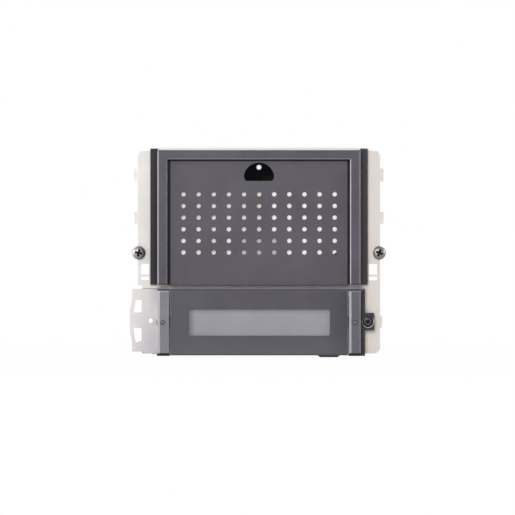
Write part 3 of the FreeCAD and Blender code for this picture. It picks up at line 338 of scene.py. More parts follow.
def traced(name, points):
    """A chain of edges through points in millimetres, drawn by extruding one vertex."""
    bpy.ops.object.select_all(action="DESELECT")
    bpy.ops.mesh.primitive_plane_add(size=MM, location=Vector(points[0]) * MM)
    piece = bpy.context.active_object
    bpy.ops.object.mode_set(mode="EDIT")
    bpy.ops.mesh.merge(type="CENTER")
    for start, end in zip(points, points[1:]):
        step = (Vector(end) - Vector(start)) * MM
        bpy.ops.mesh.extrude_region_move(TRANSFORM_OT_translate={"value": step})
    bpy.ops.object.mode_set(mode="OBJECT")
    return keep_place(piece, name)


def turned(name, x, z, profile, steps=64):
    """A solid spun about a line along Y from a profile of (radius, y) points, closed here."""
    piece = traced(name, [(radius, y, 0) for radius, y in profile + profile[:1]])
    bpy.ops.object.mode_set(mode="EDIT")
    bpy.ops.mesh.select_all(action="SELECT")
    bpy.ops.mesh.spin(steps=steps, angle=2 * math.pi, center=(0, 0, 0), axis=(0, 1, 0))
    bpy.ops.mesh.select_all(action="SELECT")
    bpy.ops.mesh.remove_doubles(threshold=WELD * MM)
    bpy.ops.mesh.delete_loose(use_verts=True, use_edges=True, use_faces=False)
    bpy.ops.mesh.select_all(action="SELECT")
    bpy.ops.mesh.normals_make_consistent(inside=False)
    bpy.ops.object.mode_set(mode="OBJECT")
    piece.location = (x * MM, 0, z * MM)
    return keep_place(piece, name)


def ridges(root, crest, start, pitch, turns):
    """The profile of a rolled thread, as (radius, y) points."""
    points = []
    for turn in range(turns):
        level = start + turn * pitch
        points += [(root, level), (crest, level + pitch / 2)]
    return points


def cross_cutter(x, z, front, turn):
    """Two crossed bars that taper to a point, as the driver that stamps a cross recess."""
    bars = []
    for quarter in (0, 1):
        bar = block("bar", (-RECESS_ARM, RECESS_ARM), (-0.5, RECESS_DEPTH),
                    (-RECESS_WIDTH / 2, RECESS_WIDTH / 2))
        bpy.ops.object.mode_set(mode="EDIT")
        bpy.ops.mesh.select_all(action="DESELECT")
        shape = bmesh.from_edit_mesh(bar.data)
        for face in shape.faces:
            face.select_set(face.normal.y > 0.9)
        bmesh.update_edit_mesh(bar.data)
        bpy.ops.transform.resize(value=RECESS_TAPER)
        bpy.ops.object.mode_set(mode="OBJECT")
        bar.rotation_euler.y = turn + quarter * math.pi / 2
        bars.append(keep_place(bar, "bar"))
    cutter = combine(bars[0], "UNION", [bars[1]])
    cutter.location = (x * MM, front * MM, z * MM)
    return keep_place(cutter, "cross")


def plated_steel(name, colour, rough=0.28, streak=400, dull=0.12):
    """Zinc plated steel with a cloudy shine; its recesses get painted shade from another material.
    """
    material, made, link, shader, place = started(name)
    shader.inputs["Metallic"].default_value = 1.0
    clouds = stretched(made, link, noise(made, link, place, streak, 5, 0.7), 0, 1)
    link(blended(made, link, clouds, shade_of(colour, 1 - dull), shade_of(colour, 1 + dull)),
         shader.inputs["Base Color"])
    link(stretched(made, link, noise(made, link, place, 3 * streak, 3), rough - 0.08, rough + 0.14),
         shader.inputs["Roughness"])
    rough_skin(made, link, shader, place, 2500, 0.01, 0.35)
    return material


zinc_plate = tinted(plated_steel("zinc plate", (0.20, 0.19, 0.185), rough=0.36, dull=0.3),
                    SCREW_TINTS)
# painted shade: a near black for the screws' cross recesses and the lock's socket
recess_shade = moulding("recess painted shade", (0.030, 0.028, 0.030), rough=0.8, cloud=0.3, grain=2500,
                        gloss=0.1)
screw_profile = HEAD_PROFILE + [(NECK_RADIUS, HEAD_BACK), (NECK_RADIUS, 0)]
screw_profile += ridges(THREAD_ROOT, THREAD_CREST, THREAD_START, THREAD_PITCH, THREAD_TURNS)
screw_profile += [(THREAD_ROOT, THREAD_END - END_CHAMFER), (THREAD_ROOT - END_CHAMFER, THREAD_END),
                  (0, THREAD_END)]
for side, name in ((-1, "left_fixing_screw"), (1, "right_fixing_screw")):
    screw = turned(name, side * SCREW_X, 0, screw_profile)
    cutter = cross_cutter(side * SCREW_X, 0, HEAD_FRONT, RECESS_TURN * (1 + 0.3 * side))
    dress(screw, zinc_plate)
    # the cross recess gets painted shade
    dress(cutter, recess_shade)
    combine(screw, "DIFFERENCE", [cutter])
    soften(screw, 0.05, sharp=40)
    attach(screw, "module_body")
    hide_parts("mounting_screws")


# The dark frame round the grille is one moulding in graphite ABS: a rail with chamfered edges on
# three sides, a thin flange at each side that lies in the rail's shade, and four spring hooks that
# snap in behind the chassis. Its chamfers carry painted highlights, and its flanges painted shade.
GRAPHITE = (0.080, 0.074, 0.093)
FRAME_FOOT = -13.7
FLANGE = (46.8, 44.9, -3.4)
RAIL = (43.65, 44.1, -8.0)
PLATE_FRONT = -2.0
MOUTH = (39.3, 40.4)
MOUTH_SIDES = (-39.35, 39.05)
MOUTH_EDGE = 40.1
LEDGE_WIDTH = 1.9
LEDGE = (-4.0, -3.0)
FOOT_BAR = 1.0
OUTER_CHAMFER = 0.7
INNER_CHAMFER = 0.45
THROUGH = (-20, 1)
FRAME_HOOK_Z = (30.0, 6.0)
FRAME_HOOK = (39.85, 4.0, 1.2, 0.6, -2.5, (0.05, 1.2))
FRAME_TINTS = [
    # painted shade on the low flanges, and painted highlights on the chamfers of the rail's left
    # and the mouth
    ("Y", (-5.2, -4.6), (0.007, 0.006, 0.007)),
    ("X", (-43.62, -43.58, -43.2, -43.1), (0.25, 0.24, 0.26)),
    ("X", (39.07, 39.12, 39.49, 39.55), (0.34, 0.33, 0.355), ("Z", (-30, -29, 40.0, 40.2))),
    ("Z", (40.12, 40.16, 40.5, 40.56), (0.22, 0.21, 0.23), ("X", (-39.4, -39.3, 39.0, 39.1))),
    # painted shade on the left flange, darkest on its strip beside the rail, and lighter on the
    # right flange
    ("X", (-43.6, -43.7), (0.017, 0.0165, 0.024)),
    ("X", (-45.6, -44.5, -43.7, -43.65), (0.006, 0.0055, 0.009)),
    ("X", (43.6, 43.7), (0.040, 0.034, 0.042))]


def picked_edges(piece, test):
    """Enter edit mode with those edges selected whose two ends, in millimetres, pass a test."""
    alone(piece)
    bpy.ops.object.mode_set(mode="EDIT")
    bpy.ops.mesh.select_mode(type="EDGE")
    bpy.ops.mesh.select_all(action="DESELECT")
    shape = bmesh.from_edit_mesh(piece.data)
    for edge in shape.edges:
        edge.select_set(test(edge.verts[0].co / MM, edge.verts[1].co / MM))
    bmesh.update_edit_mesh(piece.data)


def bevelled(piece, width, segments, test):
    """Bevel the chosen edges by a width in millimetres."""
    picked_edges(piece, test)
    bpy.ops.mesh.bevel(offset=width * MM, segments=segments, profile=0.5, affect="EDGES")
    bpy.ops.mesh.select_mode(type="VERT")
    bpy.ops.object.mode_set(mode="OBJECT")
    return piece


def at_level(a, b, y):
    """True for an edge that lies in one plane across Y."""
    return abs(a.y - y) < 0.01 and abs(b.y - y) < 0.01


def deep_edge(a, b):
    """True for an edge that runs from front to back."""
    return abs(a.y - b.y) > 0.01


def crisp(piece):
    """Merge what the cuts left double, and shade smooth all but the sharp edges."""
    alone(piece)
    bpy.ops.object.mode_set(mode="EDIT")
    bpy.ops.mesh.select_all(action="SELECT")
    bpy.ops.mesh.remove_doubles(threshold=WELD * MM)
    bpy.ops.mesh.dissolve_degenerate(threshold=WELD * MM)
    bpy.ops.object.mode_set(mode="OBJECT")
    bpy.ops.object.shade_smooth_by_angle(angle=math.radians(30))


def hook(name, side, z, reach, width, thick, nib, front, tip):
    """A spring hook that runs backwards, with a sloped nose that catches outwards."""
    leg = block(name, sorted((side * reach, side * (reach + thick))), (front, tip[1]),
                (z - width / 2, z + width / 2))
    nose = block("nose", sorted((side * (reach + thick - 0.1), side * (reach + thick + nib))), tip,
                 (z - width / 2, z + width / 2))
    alone(nose)
    bpy.ops.object.mode_set(mode="EDIT")
    bpy.ops.mesh.select_all(action="DESELECT")
    shape = bmesh.from_edit_mesh(nose.data)
    for corner in shape.verts:
        corner.select_set(abs(corner.co.x) > (reach + thick) * MM
                          and corner.co.y > (tip[0] + 0.01) * MM)
    bmesh.update_edit_mesh(nose.data)
    bpy.ops.transform.translate(value=(-side * 0.8 * nib * MM, 0, 0))
    bpy.ops.object.mode_set(mode="OBJECT")
    return combine(leg, "UNION", [nose])


half, top, front = FLANGE
surround = block("bezel_frame", (-half, half), (front, PLATE_FRONT), (FRAME_FOOT, top))
combine(surround, "DIFFERENCE", [
    block("mouth", MOUTH_SIDES, THROUGH, (FRAME_FOOT + FOOT_BAR, MOUTH_EDGE)),
    block("gap", (-RAIL[0], RAIL[0]), THROUGH, (RAIL[1], RAIL[1] + 5))])
half, top, front = RAIL
rail = block("rail", (-half, half), (front, PLATE_FRONT), (FRAME_FOOT, top))
bevelled(rail, OUTER_CHAMFER, 1, lambda a, b: at_level(a, b, RAIL[2]))
combine(rail, "DIFFERENCE", [block("mouth", MOUTH_SIDES, THROUGH, (FRAME_FOOT - 5, MOUTH_EDGE))])
bevelled(rail, INNER_CHAMFER, 1, lambda a, b: at_level(a, b, RAIL[2])
         and max(abs(a.x), abs(b.x)) < 0.01 - MOUTH_SIDES[0] and max(a.z, b.z) < MOUTH[1] + 0.01)
half, top = MOUTH
ledge = block("ledge", (-half - 0.5, half + 0.5), LEDGE, (FRAME_FOOT, top + 0.5))
combine(ledge, "DIFFERENCE", [
    block("mouth", (LEDGE_WIDTH - half, half - LEDGE_WIDTH), THROUGH,
          (FRAME_FOOT + FOOT_BAR, top - LEDGE_WIDTH))])
hooks = [hook("frame_hook", side, z, *FRAME_HOOK) for side in (-1, 1) for z in FRAME_HOOK_Z]
combine(surround, "UNION", [rail, ledge] + hooks)
crisp(surround)
# its edges are lightened 3.6 times: wear and painted highlight
graphite = moulding("graphite moulding", GRAPHITE, rough=0.36, cloud=0.1, grain=5200,
                    height=0.012, rub_and_sheen=0.26, rub_and_sheen_light=3.6, gloss=0.25, dust=0.3)
frame_skin = graphite.copy()
frame_skin.name = "graphite frame"
dress(surround, tinted(frame_skin, FRAME_TINTS))
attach(surround, "module_body")
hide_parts("upper_frame")


# The grille is a graphite panel with 66 round sound holes. Its back is thinned behind them, a
# half moon is cut out at its top, and four hooks behind catch the frame's inner ledge.
PANEL = (38.2, -14.0, 39.7)
PANEL_FRONT = -5.6
PANEL_BACK = -4.0
PANEL_CHAMFER = 0.25
POCKET = (34.8, -4.4, 29.8, -4.9)
HOLE_RADIUS = 1.0
HOLE_RIM = 0.1
DRILL = (-6.5, -3.5)
HOLE_PITCH = (6.5, 5.0)
HOLE_COUNT = (11, 6)
FIRST_HOLE = (-32.5, 0.2)
MOON_HALF = 6.5
MOON_FOOT = 30.9
MOON_TOP = 38.8
MOON_SHOULDER = 2.3
MOON_CORNER = 1.2
HOOK_PLAY = 0.15
PANEL_HOOK_Z = (30.0, -6.0)
PANEL_HOOK = (5.0, 1.0, 0.5, -4.5, (-2.95, -2.3))


def moon_points(grow, y, steps=28, corner_steps=6):
    """The half moon's outline at a level: an arc over two shoulders and a flat foot."""
    half = MOON_HALF + grow
    shoulder = MOON_FOOT + MOON_SHOULDER
    rise = MOON_TOP + grow - shoulder
    radius = (half * half + rise * rise) / (2 * rise)
    swing = math.asin(half / radius)
    arc = [-swing + 2 * swing * i / steps for i in range(steps + 1)]
    points = [(radius * math.sin(a), y, MOON_TOP + grow - radius * (1 - math.cos(a))) for a in arc]
    foot = MOON_FOOT - grow
    drop = shoulder - foot
    for i in range(1, corner_steps + 1):
        turn = math.pi / 2 * i / corner_steps
        points.append((half - MOON_CORNER * (1 - math.cos(turn)), y,
                       shoulder - drop * math.sin(turn)))
    points += [(-x, y, z) for x, y, z in reversed(points[steps + 1:])]
    return points


def slab(name, points, back):
    """A flat outline at one Y level, filled and extruded to a back level."""
    piece = traced(name, list(points) + [points[0]])
    bpy.ops.object.mode_set(mode="EDIT")
    bpy.ops.mesh.select_all(action="SELECT")
    bpy.ops.mesh.remove_doubles(threshold=WELD * MM)
    bpy.ops.mesh.select_all(action="SELECT")
    bpy.ops.mesh.edge_face_add()
    step = (0, (back - points[0][1]) * MM, 0)
    bpy.ops.mesh.extrude_region_move(TRANSFORM_OT_translate={"value": step})
    bpy.ops.mesh.select_all(action="SELECT")
    bpy.ops.mesh.normals_make_consistent(inside=False)
    bpy.ops.object.mode_set(mode="OBJECT")
    return keep_place(piece, name)


def rows(piece, count, step):
    """Repeat a piece along one axis at a step in millimetres."""
    line = piece.modifiers.new("row", "ARRAY")
    line.count = count
    line.use_relative_offset = False
    line.use_constant_offset = True
    line.constant_offset_displace = [MM * value for value in step]
    alone(piece)
    bpy.ops.object.modifier_apply(modifier=line.name)
    return piece


def split_at(piece, point, normal):
    """Cut a piece's faces along a plane without opening them."""
    alone(piece)
    bpy.ops.object.mode_set(mode="EDIT")
    bpy.ops.mesh.select_all(action="SELECT")
    bpy.ops.mesh.bisect(plane_co=Vector(point) * MM, plane_no=normal)
    bpy.ops.object.mode_set(mode="OBJECT")


half, foot, top = PANEL
grille = block("sound_grille", (-half, half), (PANEL_FRONT, PANEL_BACK), (foot, top))
bevelled(grille, PANEL_CHAMFER, 1, lambda a, b: at_level(a, b, PANEL_FRONT))
for column in range(HOLE_COUNT[0] + 1):
    split_at(grille, (FIRST_HOLE[0] + (column - 0.5) * HOLE_PITCH[0], 0, 0), (1, 0, 0))
for row in range(HOLE_COUNT[1] + 1):
    split_at(grille, (0, 0, FIRST_HOLE[1] + (row - 0.5) * HOLE_PITCH[1]), (0, 0, 1))
split_at(grille, (0, 0, MOON_FOOT - 1), (0, 0, 1))
drill = turned("drill", *FIRST_HOLE, [
    (0, DRILL[0]), (HOLE_RADIUS + PANEL_FRONT + HOLE_RIM - DRILL[0], DRILL[0]),
    (HOLE_RADIUS, PANEL_FRONT + HOLE_RIM), (HOLE_RADIUS, DRILL[1]), (0, DRILL[1])], steps=24)
rows(drill, HOLE_COUNT[0], (HOLE_PITCH[0], 0, 0))
rows(drill, HOLE_COUNT[1], (0, 0, HOLE_PITCH[1]))
half, foot, top, level = POCKET
combine(grille, "DIFFERENCE", [block("pocket", (-half, half), (level, -3), (foot, top)), drill,
                               slab("moon", moon_points(0, -7), -3)])
reach = MOUTH[0] - LEDGE_WIDTH - HOOK_PLAY - PANEL_HOOK[1]
hooks = [hook("panel_hook", side, z, reach, *PANEL_HOOK) for side in (-1, 1) for z in PANEL_HOOK_Z]
combine(grille, "UNION", hooks)
bpy.ops.object.shade_smooth_by_angle(angle=math.radians(30))
true_faces = grille.modifiers.new("true faces", "WEIGHTED_NORMAL")
true_faces.keep_sharp = True
alone(grille)
bpy.ops.object.modifier_apply(modifier=true_faces.name)
panel_grey = moulding("grille panel", (0.085, 0.078, 0.097), rough=0.42, cloud=0.08, grain=5200,
                      height=0.014, rub_and_sheen=0.1, rub_and_sheen_light=1.6, gloss=0.25, dust=0.3)
# painted shade on the panel's lower chamfer
chamfer_top = PANEL[1] + PANEL_CHAMFER
tinted(panel_grey, [("Z", (chamfer_top, chamfer_top - 0.06), (0.020, 0.018, 0.023))])
dress(grille, panel_grey)
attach(grille, "module_body")
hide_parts("grille_panel")


# The half moon is a gloss black polycarbonate insert with a dished face. It is pushed in from
# behind, its skirt stops it, and a hole near its top takes the light pipe.
MOON_FRONT = -5.2
MOON_SKIRT = (-4.0, -3.2)
DISH = [(6.5, 0), (5.6, 0.22), (4.6, 0.42), (3.6, 0.6)]
PIPE_Z = 36.8
PIPE_HOLE = 1.2

window = slab("moon_insert", moon_points(-0.05, MOON_FRONT), PANEL_BACK + 0.1)
skirt = slab("skirt", moon_points(1.0, MOON_SKIRT[0]), MOON_SKIRT[1])
ledge_low = MOUTH[1] - LEDGE_WIDTH - 0.05
combine(skirt, "DIFFERENCE", [block("stop", (-20, 20), (-6, 0), (ledge_low, 50))])
combine(window, "UNION", [skirt])
dish = turned("dish", 0, MOON_FOOT + MOON_SHOULDER, [
    (0, MOON_FRONT - 0.5), (DISH[0][0], MOON_FRONT - 0.5)]
    + [(radius, MOON_FRONT + depth) for radius, depth in DISH]
    + [(0, MOON_FRONT + DISH[-1][1])], steps=48)
combine(window, "DIFFERENCE", [dish, rod("hole", 0, PIPE_Z, PIPE_HOLE, (-7, 0), 32)])
soften(window, 0.06)
# its edges are lightened four times: painted highlight round the rim
black_gloss = moulding("gloss black insert", (0.0015, 0.0015, 0.0020), rough=0.24, cloud=0.2,
                       grain=2600, height=0.004, rub_and_sheen=0.12, rub_and_sheen_light=4.0, gloss=0.03)
dress(window, black_gloss)
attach(window, "module_body")
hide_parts("status_window")


# A white acrylic light pipe leads from the light on the board to the half moon. It is turned
# with a domed tip that stands just proud of the black face.
PIPE_PROFILE = [
    (0, -5.35), (0.4, -5.33), (0.7, -5.25), (0.88, -5.11), (0.95, -4.9), (0.95, -4.4),
    (1.15, -4.2), (1.15, 2.0), (1.0, 2.3), (1.0, 8.2), (1.15, 8.4), (1.15, 8.6), (0, 8.6)]

pipe = turned("status_pipe", 0, PIPE_Z, PIPE_PROFILE, steps=32)
soften(pipe, 0.03)
milky = moulding("milky light pipe", (0.80, 0.79, 0.77), rough=0.22, cloud=0.03, grain=2600,
                 height=0.004)
# a faint glow, as painted light, though the pipe is no lamp
pipe_glow = milky.node_tree.nodes["Principled BSDF"]
pipe_glow.inputs["Emission Color"].default_value = (1, 0.98, 0.95, 1)
pipe_glow.inputs["Emission Strength"].default_value = 0.1
dress(pipe, milky)
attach(pipe, "module_body")
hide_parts("status_light_pipe")


# White needled fleece keeps dust out of the loudspeaker and the vents. The pieces are die cut
# from a 0.3 mm sheet and lie on the raised pads right behind the holes.
FLEECE = (-4.9, -4.6)
SPEAKER_FLEECE = (19.5, 14.0, 29.6, 30.6, 4.8)
BOOT = (0.0, 1.5, 17.0, 9.0, 2.5)
VENT_FLEECES = ((-34.2, 11.8), (-16.3, 6.6))
VENT_FLEECE_Z = (-3.0, 13.0)
VENT_FLEECE = (-4.6, -4.3)
PLAY = 0.1


def fibrous(name, colour, glow):
    """Needled felt: crossed fibres in tint and relief, with a faint painted glow in place of light
    through it.
    """
    material, made, link, shader, place = started(name)
    fibres = []
    for scale in ((900, 900, 5200), (5200, 900, 900)):
        lean = made.new("ShaderNodeMapping")
        lean.inputs["Scale"].default_value = scale
        lean.inputs["Rotation"].default_value = (0.2, 0.4 + scale[0] / 9000, 0.1)
        link(place, lean.inputs["Vector"])
        strand = made.new("ShaderNodeTexNoise")
        strand.inputs["Scale"].default_value = 1.0
        strand.inputs["Detail"].default_value = 4
        strand.inputs["Distortion"].default_value = 0.8
        link(lean.outputs["Vector"], strand.inputs["Vector"])
        fibres.append(strand.outputs["Fac"])
    cross = made.new("ShaderNodeMath")
    cross.operation = "MAXIMUM"
    link(fibres[0], cross.inputs[0])
    link(fibres[1], cross.inputs[1])
    weave = stretched(made, link, cross.outputs["Value"], 0, 1, 0.45, 0.75)
    tint = blended(made, link, weave, shade_of(colour, 0.88), shade_of(colour, 1.03))
    link(tint, shader.inputs["Base Color"])
    link(tint, shader.inputs["Emission Color"])
    shader.inputs["Emission Strength"].default_value = glow
    shader.inputs["Roughness"].default_value = 0.95
    shader.inputs["Sheen Weight"].default_value = 0.3
    relief = made.new("ShaderNodeBump")
    relief.inputs["Strength"].default_value = 0.5
    relief.inputs["Distance"].default_value = 0.05 * MM
    link(weave, relief.inputs["Height"])
    link(relief.outputs["Normal"], shader.inputs["Normal"])
    return material


def fleece_piece(name, x, y, z, corner):
    """A die cut sheet whose edges are pressed thin all round."""
    sheet = block(name, x, y, z)
    bevelled(sheet, corner, 8, deep_edge)
    bevelled(sheet, 0.12, 3, lambda a, b: at_level(a, b, y[0]))
    return sheet


# the fleece glows a little: painted light
felt = fibrous("white fleece", (0.94, 0.92, 0.89), 0.21)
cx, cz, wide, high, corner = SPEAKER_FLEECE
fleece = fleece_piece("loudspeaker_fleece", (cx - wide / 2, cx + wide / 2), FLEECE,
                      (cz - high / 2, cz + high / 2), corner)
bx, bz, boot_wide, boot_high, boot_corner = BOOT
gap = fleece_piece("gap", (bx - boot_wide / 2 - PLAY, bx + boot_wide / 2 + PLAY),
                   (FLEECE[0] - 1, FLEECE[1] + 1),
                   (bz - boot_high / 2 - PLAY, bz + boot_high / 2 + PLAY), boot_corner + PLAY)
combine(fleece, "DIFFERENCE", [gap])
bpy.ops.object.shade_smooth_by_angle(angle=math.radians(30))
vents = [fleece_piece("vent", (left, left + width), VENT_FLEECE, VENT_FLEECE_Z, 0.6)
         for left, width in VENT_FLEECES]
alone(vents[0])
vents[1].select_set(True)
bpy.ops.object.join()
vent_sheet = keep_place(bpy.context.active_object, "vent_fleece_strips")
bpy.ops.object.shade_smooth_by_angle(angle=math.radians(30))
for sheet, node in ((fleece, "speaker_fleece"), (vent_sheet, "vent_fleeces")):
    dress(sheet, felt)
    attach(sheet, "module_body")
    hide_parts(node)


# The microphone sits in a boot of grey silicone rubber that leads one sound hole to it. The
# boot is moulded, dull and slightly tacky, so a little dust stays on it.
BOOT_Y = (-4.9, 4.0)
CAPSULE_SEAT = (3.02, (1.3, 5.0))
DUCT = [(0, -5.5), (1.3, -5.5), (0.8, -4.6), (0.8, 2.0), (0, 2.0)]
GAUZE = [(0, -4.72), (0.82, -4.7), (0.82, -4.62), (0, -4.64)]

rubber = moulding("grey silicone", (0.56, 0.55, 0.565), rough=0.7, cloud=0.08, grain=3000,
                  height=0.03)
boot = block("microphone_sleeve", (bx - boot_wide / 2, bx + boot_wide / 2), BOOT_Y,
             (bz - boot_high / 2, bz + boot_high / 2))
bevelled(boot, boot_corner, 8, deep_edge)
combine(boot, "DIFFERENCE", [rod("seat", bx, bz, *CAPSULE_SEAT),
                             turned("duct", bx, FIRST_HOLE[1], DUCT, steps=32)])
soften(boot, 0.12)
dress(boot, rubber)
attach(boot, "module_body")
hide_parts("microphone_boot")
gauze = turned("sound_gauze", bx, FIRST_HOLE[1], GAUZE, steps=24)
# the gauze glows a little too: painted light
dress(gauze, fibrous("grey gauze", (0.64, 0.63, 0.61), 0.08))
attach(gauze, "module_body")


# The name plate door is moulded in the same graphite ABS: a base strip with a raised panel round
# the card window, end ledges that carry the hinge pin's ends, a lock tab and a finger lug.
DOOR_Z = (-44.3, -15.5)
DOOR_FOOT = -44.05
DOOR_MID = -29.9
DOOR_X = (-41.85, 45.6)
DOOR_BASE = (-4.3, -2.3)
DOOR_PANEL = (38.55, -7.0)
PANEL_EDGE = 0.7
DOOR_WALL = 1.6
WINDOW = (60.8, 11.3, 0.6)
LENS_SEAT = (-6.3, 1.4)
HINGE = (-42.9, -4.4)
PIN_RADIUS = 0.45
PIN_END = 0.3
KNUCKLE_RADIUS = 1.1
KNUCKLE_HALF = 1.1
LEDGE_HIGH = 0.9
LEDGE_FRONT = -5.5
TAB = (43.7, 49.6, -33.38, -25.83)
TAB_CORNER = 0.5
LUG = (25.1, 34.9, 1.2, 0.6)
LOCK = (46.8, -29.6)
LOCK_HOLE = 2.2
FERRULE = (2.8, -5.3, -2.9)
SLOT_X = (38.85, 40.85)
SLOT_REACH = 11.15
SLOT_BRIDGE = 3.2
SLOT_RELIEF = (-3.3, 0.8)
NOTCH = (38.05, 38.85, 2.5)
NIB_POCKET = (24.0, 3.05, (-3.9, -2.8), 0.35)
JOIN = 0.2
DOOR_TINTS = [
    # painted light to the left and the foot, painted shade to the right
    ("X", (-18, -39), (0.089, 0.085, 0.104)),
    ("Z", (-33, -44.5), (0.104, 0.099, 0.116)),
    ("X", (28, 60), (0.022, 0.020, 0.025)),
    # painted highlights on the panel's end chamfers and top edge; painted shade in the hollows
    # under the bars and on the right flange
    ("away", (37.85, 37.95, 38.5, 38.56), (0.23, 0.22, 0.24)),
    ("X", (38.15, 38.25, 38.5, 38.56), (0.42, 0.41, 0.43)),
    ("away", (38.57, 38.62, 45.5, 45.56), (0.012, 0.010, 0.013)),
    ("X", (43.5, 43.7, 45.4, 45.5), (0.040, 0.035, 0.042)),
    ("Z", (-16.6, -16.4), (0.084, 0.078, 0.096))]


def upright(name, x, y, radius, z, sides=32):
    """A round bar standing along Z between two levels, in millimetres."""
    bpy.ops.object.select_all(action="DESELECT")
    bpy.ops.mesh.primitive_cylinder_add(
        vertices=sides, radius=radius * MM, depth=(z[1] - z[0]) * MM,
        location=(x * MM, y * MM, sum(z) / 2 * MM))
    return keep_place(bpy.context.active_object, name)


def sided(side, low, high):
    """The X levels between two distances from the middle, on the left (-1) or the right (1)."""
    return sorted((side * low, side * high))


door = block("name_plate", DOOR_X, DOOR_BASE, (DOOR_FOOT, DOOR_Z[1]))
half, front = DOOR_PANEL
panel = block("panel", (-half, half), (front, DOOR_BASE[1]), (DOOR_FOOT, DOOR_Z[1]))
bevelled(panel, PANEL_EDGE, 1, lambda a, b: at_level(a, b, DOOR_PANEL[1]))
tab = block("tab", TAB[:2], DOOR_BASE, TAB[2:])
bevelled(tab, TAB_CORNER, 4, lambda a, b: deep_edge(a, b) and max(a.x, b.x) > TAB[1] - 0.1)
left, right, taper, reach = LUG
lug = slab("lug", [(x, DOOR_BASE[0], z) for x, z in (
    (left, DOOR_FOOT + JOIN), (left, DOOR_FOOT), (left + taper, DOOR_Z[0] - reach),
    (right - taper, DOOR_Z[0] - reach), (right, DOOR_FOOT), (right, DOOR_FOOT + JOIN))],
    DOOR_BASE[1])
pieces = [panel, tab, lug]
eye_back = HINGE[1] + KNUCKLE_RADIUS
for foot in (DOOR_Z[0], DOOR_Z[1] - LEDGE_HIGH):
    span = (foot, foot + LEDGE_HIGH)
    pieces += [block("ledge", (HINGE[0], JOIN - half), (LEDGE_FRONT, eye_back), span),
               block("ledge", (half - JOIN, DOOR_X[1]), (LEDGE_FRONT, DOOR_BASE[0] + JOIN), span),
               upright("eye", *HINGE, KNUCKLE_RADIUS, span)]
knuckle = (DOOR_MID - KNUCKLE_HALF, DOOR_MID + KNUCKLE_HALF)
pieces += [upright("knuckle", *HINGE, KNUCKLE_RADIUS, knuckle),
           block("web", (HINGE[0], DOOR_X[0] + 1.7), (HINGE[1], eye_back), knuckle)]
combine(door, "UNION", pieces)
cuts = [block("hollow", (DOOR_WALL - half, half - DOOR_WALL), (front + DOOR_WALL, 0),
              (DOOR_Z[0] + DOOR_WALL, DOOR_Z[1] - DOOR_WALL))]
wide, high, corner = WINDOW
inside_face = front + DOOR_WALL + 0.1
opening = block("opening", (-wide / 2, wide / 2), (front - 1, inside_face),
                (DOOR_MID - high / 2, DOOR_MID + high / 2))
bevelled(opening, corner, 5, deep_edge)
seat, margin = LENS_SEAT
cuts += [opening, block("lens_seat", (-wide / 2 - margin, wide / 2 + margin), (seat, inside_face),
                        (DOOR_MID - high / 2 - margin, DOOR_MID + high / 2 + margin))]
relief_front, relief_reach = SLOT_RELIEF
for side in (-1, 1):
    cuts.append(block("notch", sided(side, *NOTCH[:2]), (front - 1, DOOR_BASE[0]),
                      (DOOR_MID - NOTCH[2], DOOR_MID + NOTCH[2])))
    for way in (-1, 1):
        near, far = (DOOR_MID + way * reach for reach in (SLOT_BRIDGE / 2, SLOT_REACH))
        cuts += [block("slot", sided(side, *SLOT_X), (-5, -2), sorted((near, far))),
                 block("relief", sided(side, *SLOT_X), (relief_front, -2),
                       sorted((far - way, far + way * relief_reach)))]
    middle, half_width, depth, reach = NIB_POCKET
    cuts.append(block("nib_pocket", (side * middle - half_width, side * middle + half_width), depth,
                      (DOOR_Z[0] + DOOR_WALL - reach, DOOR_Z[1] - DOOR_WALL + reach)))
cuts += [upright("pin_hole", *HINGE, PIN_RADIUS, (DOOR_Z[0] + PIN_END, DOOR_Z[1] - PIN_END), 24),
         rod("ferrule_seat", *LOCK, FERRULE[0], (-6, FERRULE[2])),
         rod("lock_hole", *LOCK, LOCK_HOLE, (-6, 0), 32)]
combine(door, "DIFFERENCE", cuts)
crisp(door)
door_skin = graphite.copy()
door_skin.name = "graphite door"
dress(door, tinted(door_skin, DOOR_TINTS))
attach(door, "name_plate_door")
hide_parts("door_frame")


# Each call button is a moulded bar with chamfered edges, on two stems that pass the door's slots
# and hook behind it. A nose on the upper stem stops just short of the switch's plunger.
BAR = (38.65, 43.7, -8.0, -6.6)
BAR_Z = (-43.55, -16.25)
BAR_CHAMFER = 0.6
BAR_EDGE = 0.07
WIDE_CHAMFER = {-1: (-43.7, 1.25), 1: (38.65, 1.0)}
STEM_X = (39.0, 40.7)
STEM_PLAY = 0.15
STEM_BACK = -2.8
BAR_HOOK = (0.6, 0.45)
NOSE = (-22.9, 1.0, -2.3)
LIGHT = (41.275, 1.05, -7.75)
# the left bar is coloured lighter than the right: painted light and shade on one moulding
BAR_COLOUR = {-1: (0.196, 0.190, 0.213), 1: (0.112, 0.106, 0.132)}
BAR_RUB_AND_SHEEN = {-1: 2.0, 1: 2.2}
BAR_CLOUD = {-1: 0.07, 1: 0.08}
# painted shade on the bars' lower ends, and painted highlights on their top ends and wide chamfers
SHADED_BAR_END = ("Z", (BAR_Z[0] + 0.6, BAR_Z[0] + 0.5), (0.012, 0.011, 0.014))
LIT_BAR_END = (BAR_Z[1] - 0.55, BAR_Z[1] - 0.45)
BAR_TINTS = {
    -1: [("X", (-43.66, -43.6, -42.72, -42.6), (0.31, 0.30, 0.315)),
         ("Z", LIT_BAR_END, (0.36, 0.35, 0.37)), SHADED_BAR_END],
    1: [("X", (38.7, 38.75, 39.6, 39.7), (0.31, 0.30, 0.32)),
        ("Z", LIT_BAR_END, (0.21, 0.20, 0.22)), SHADED_BAR_END]}
hook_high, hook_deep = BAR_HOOK

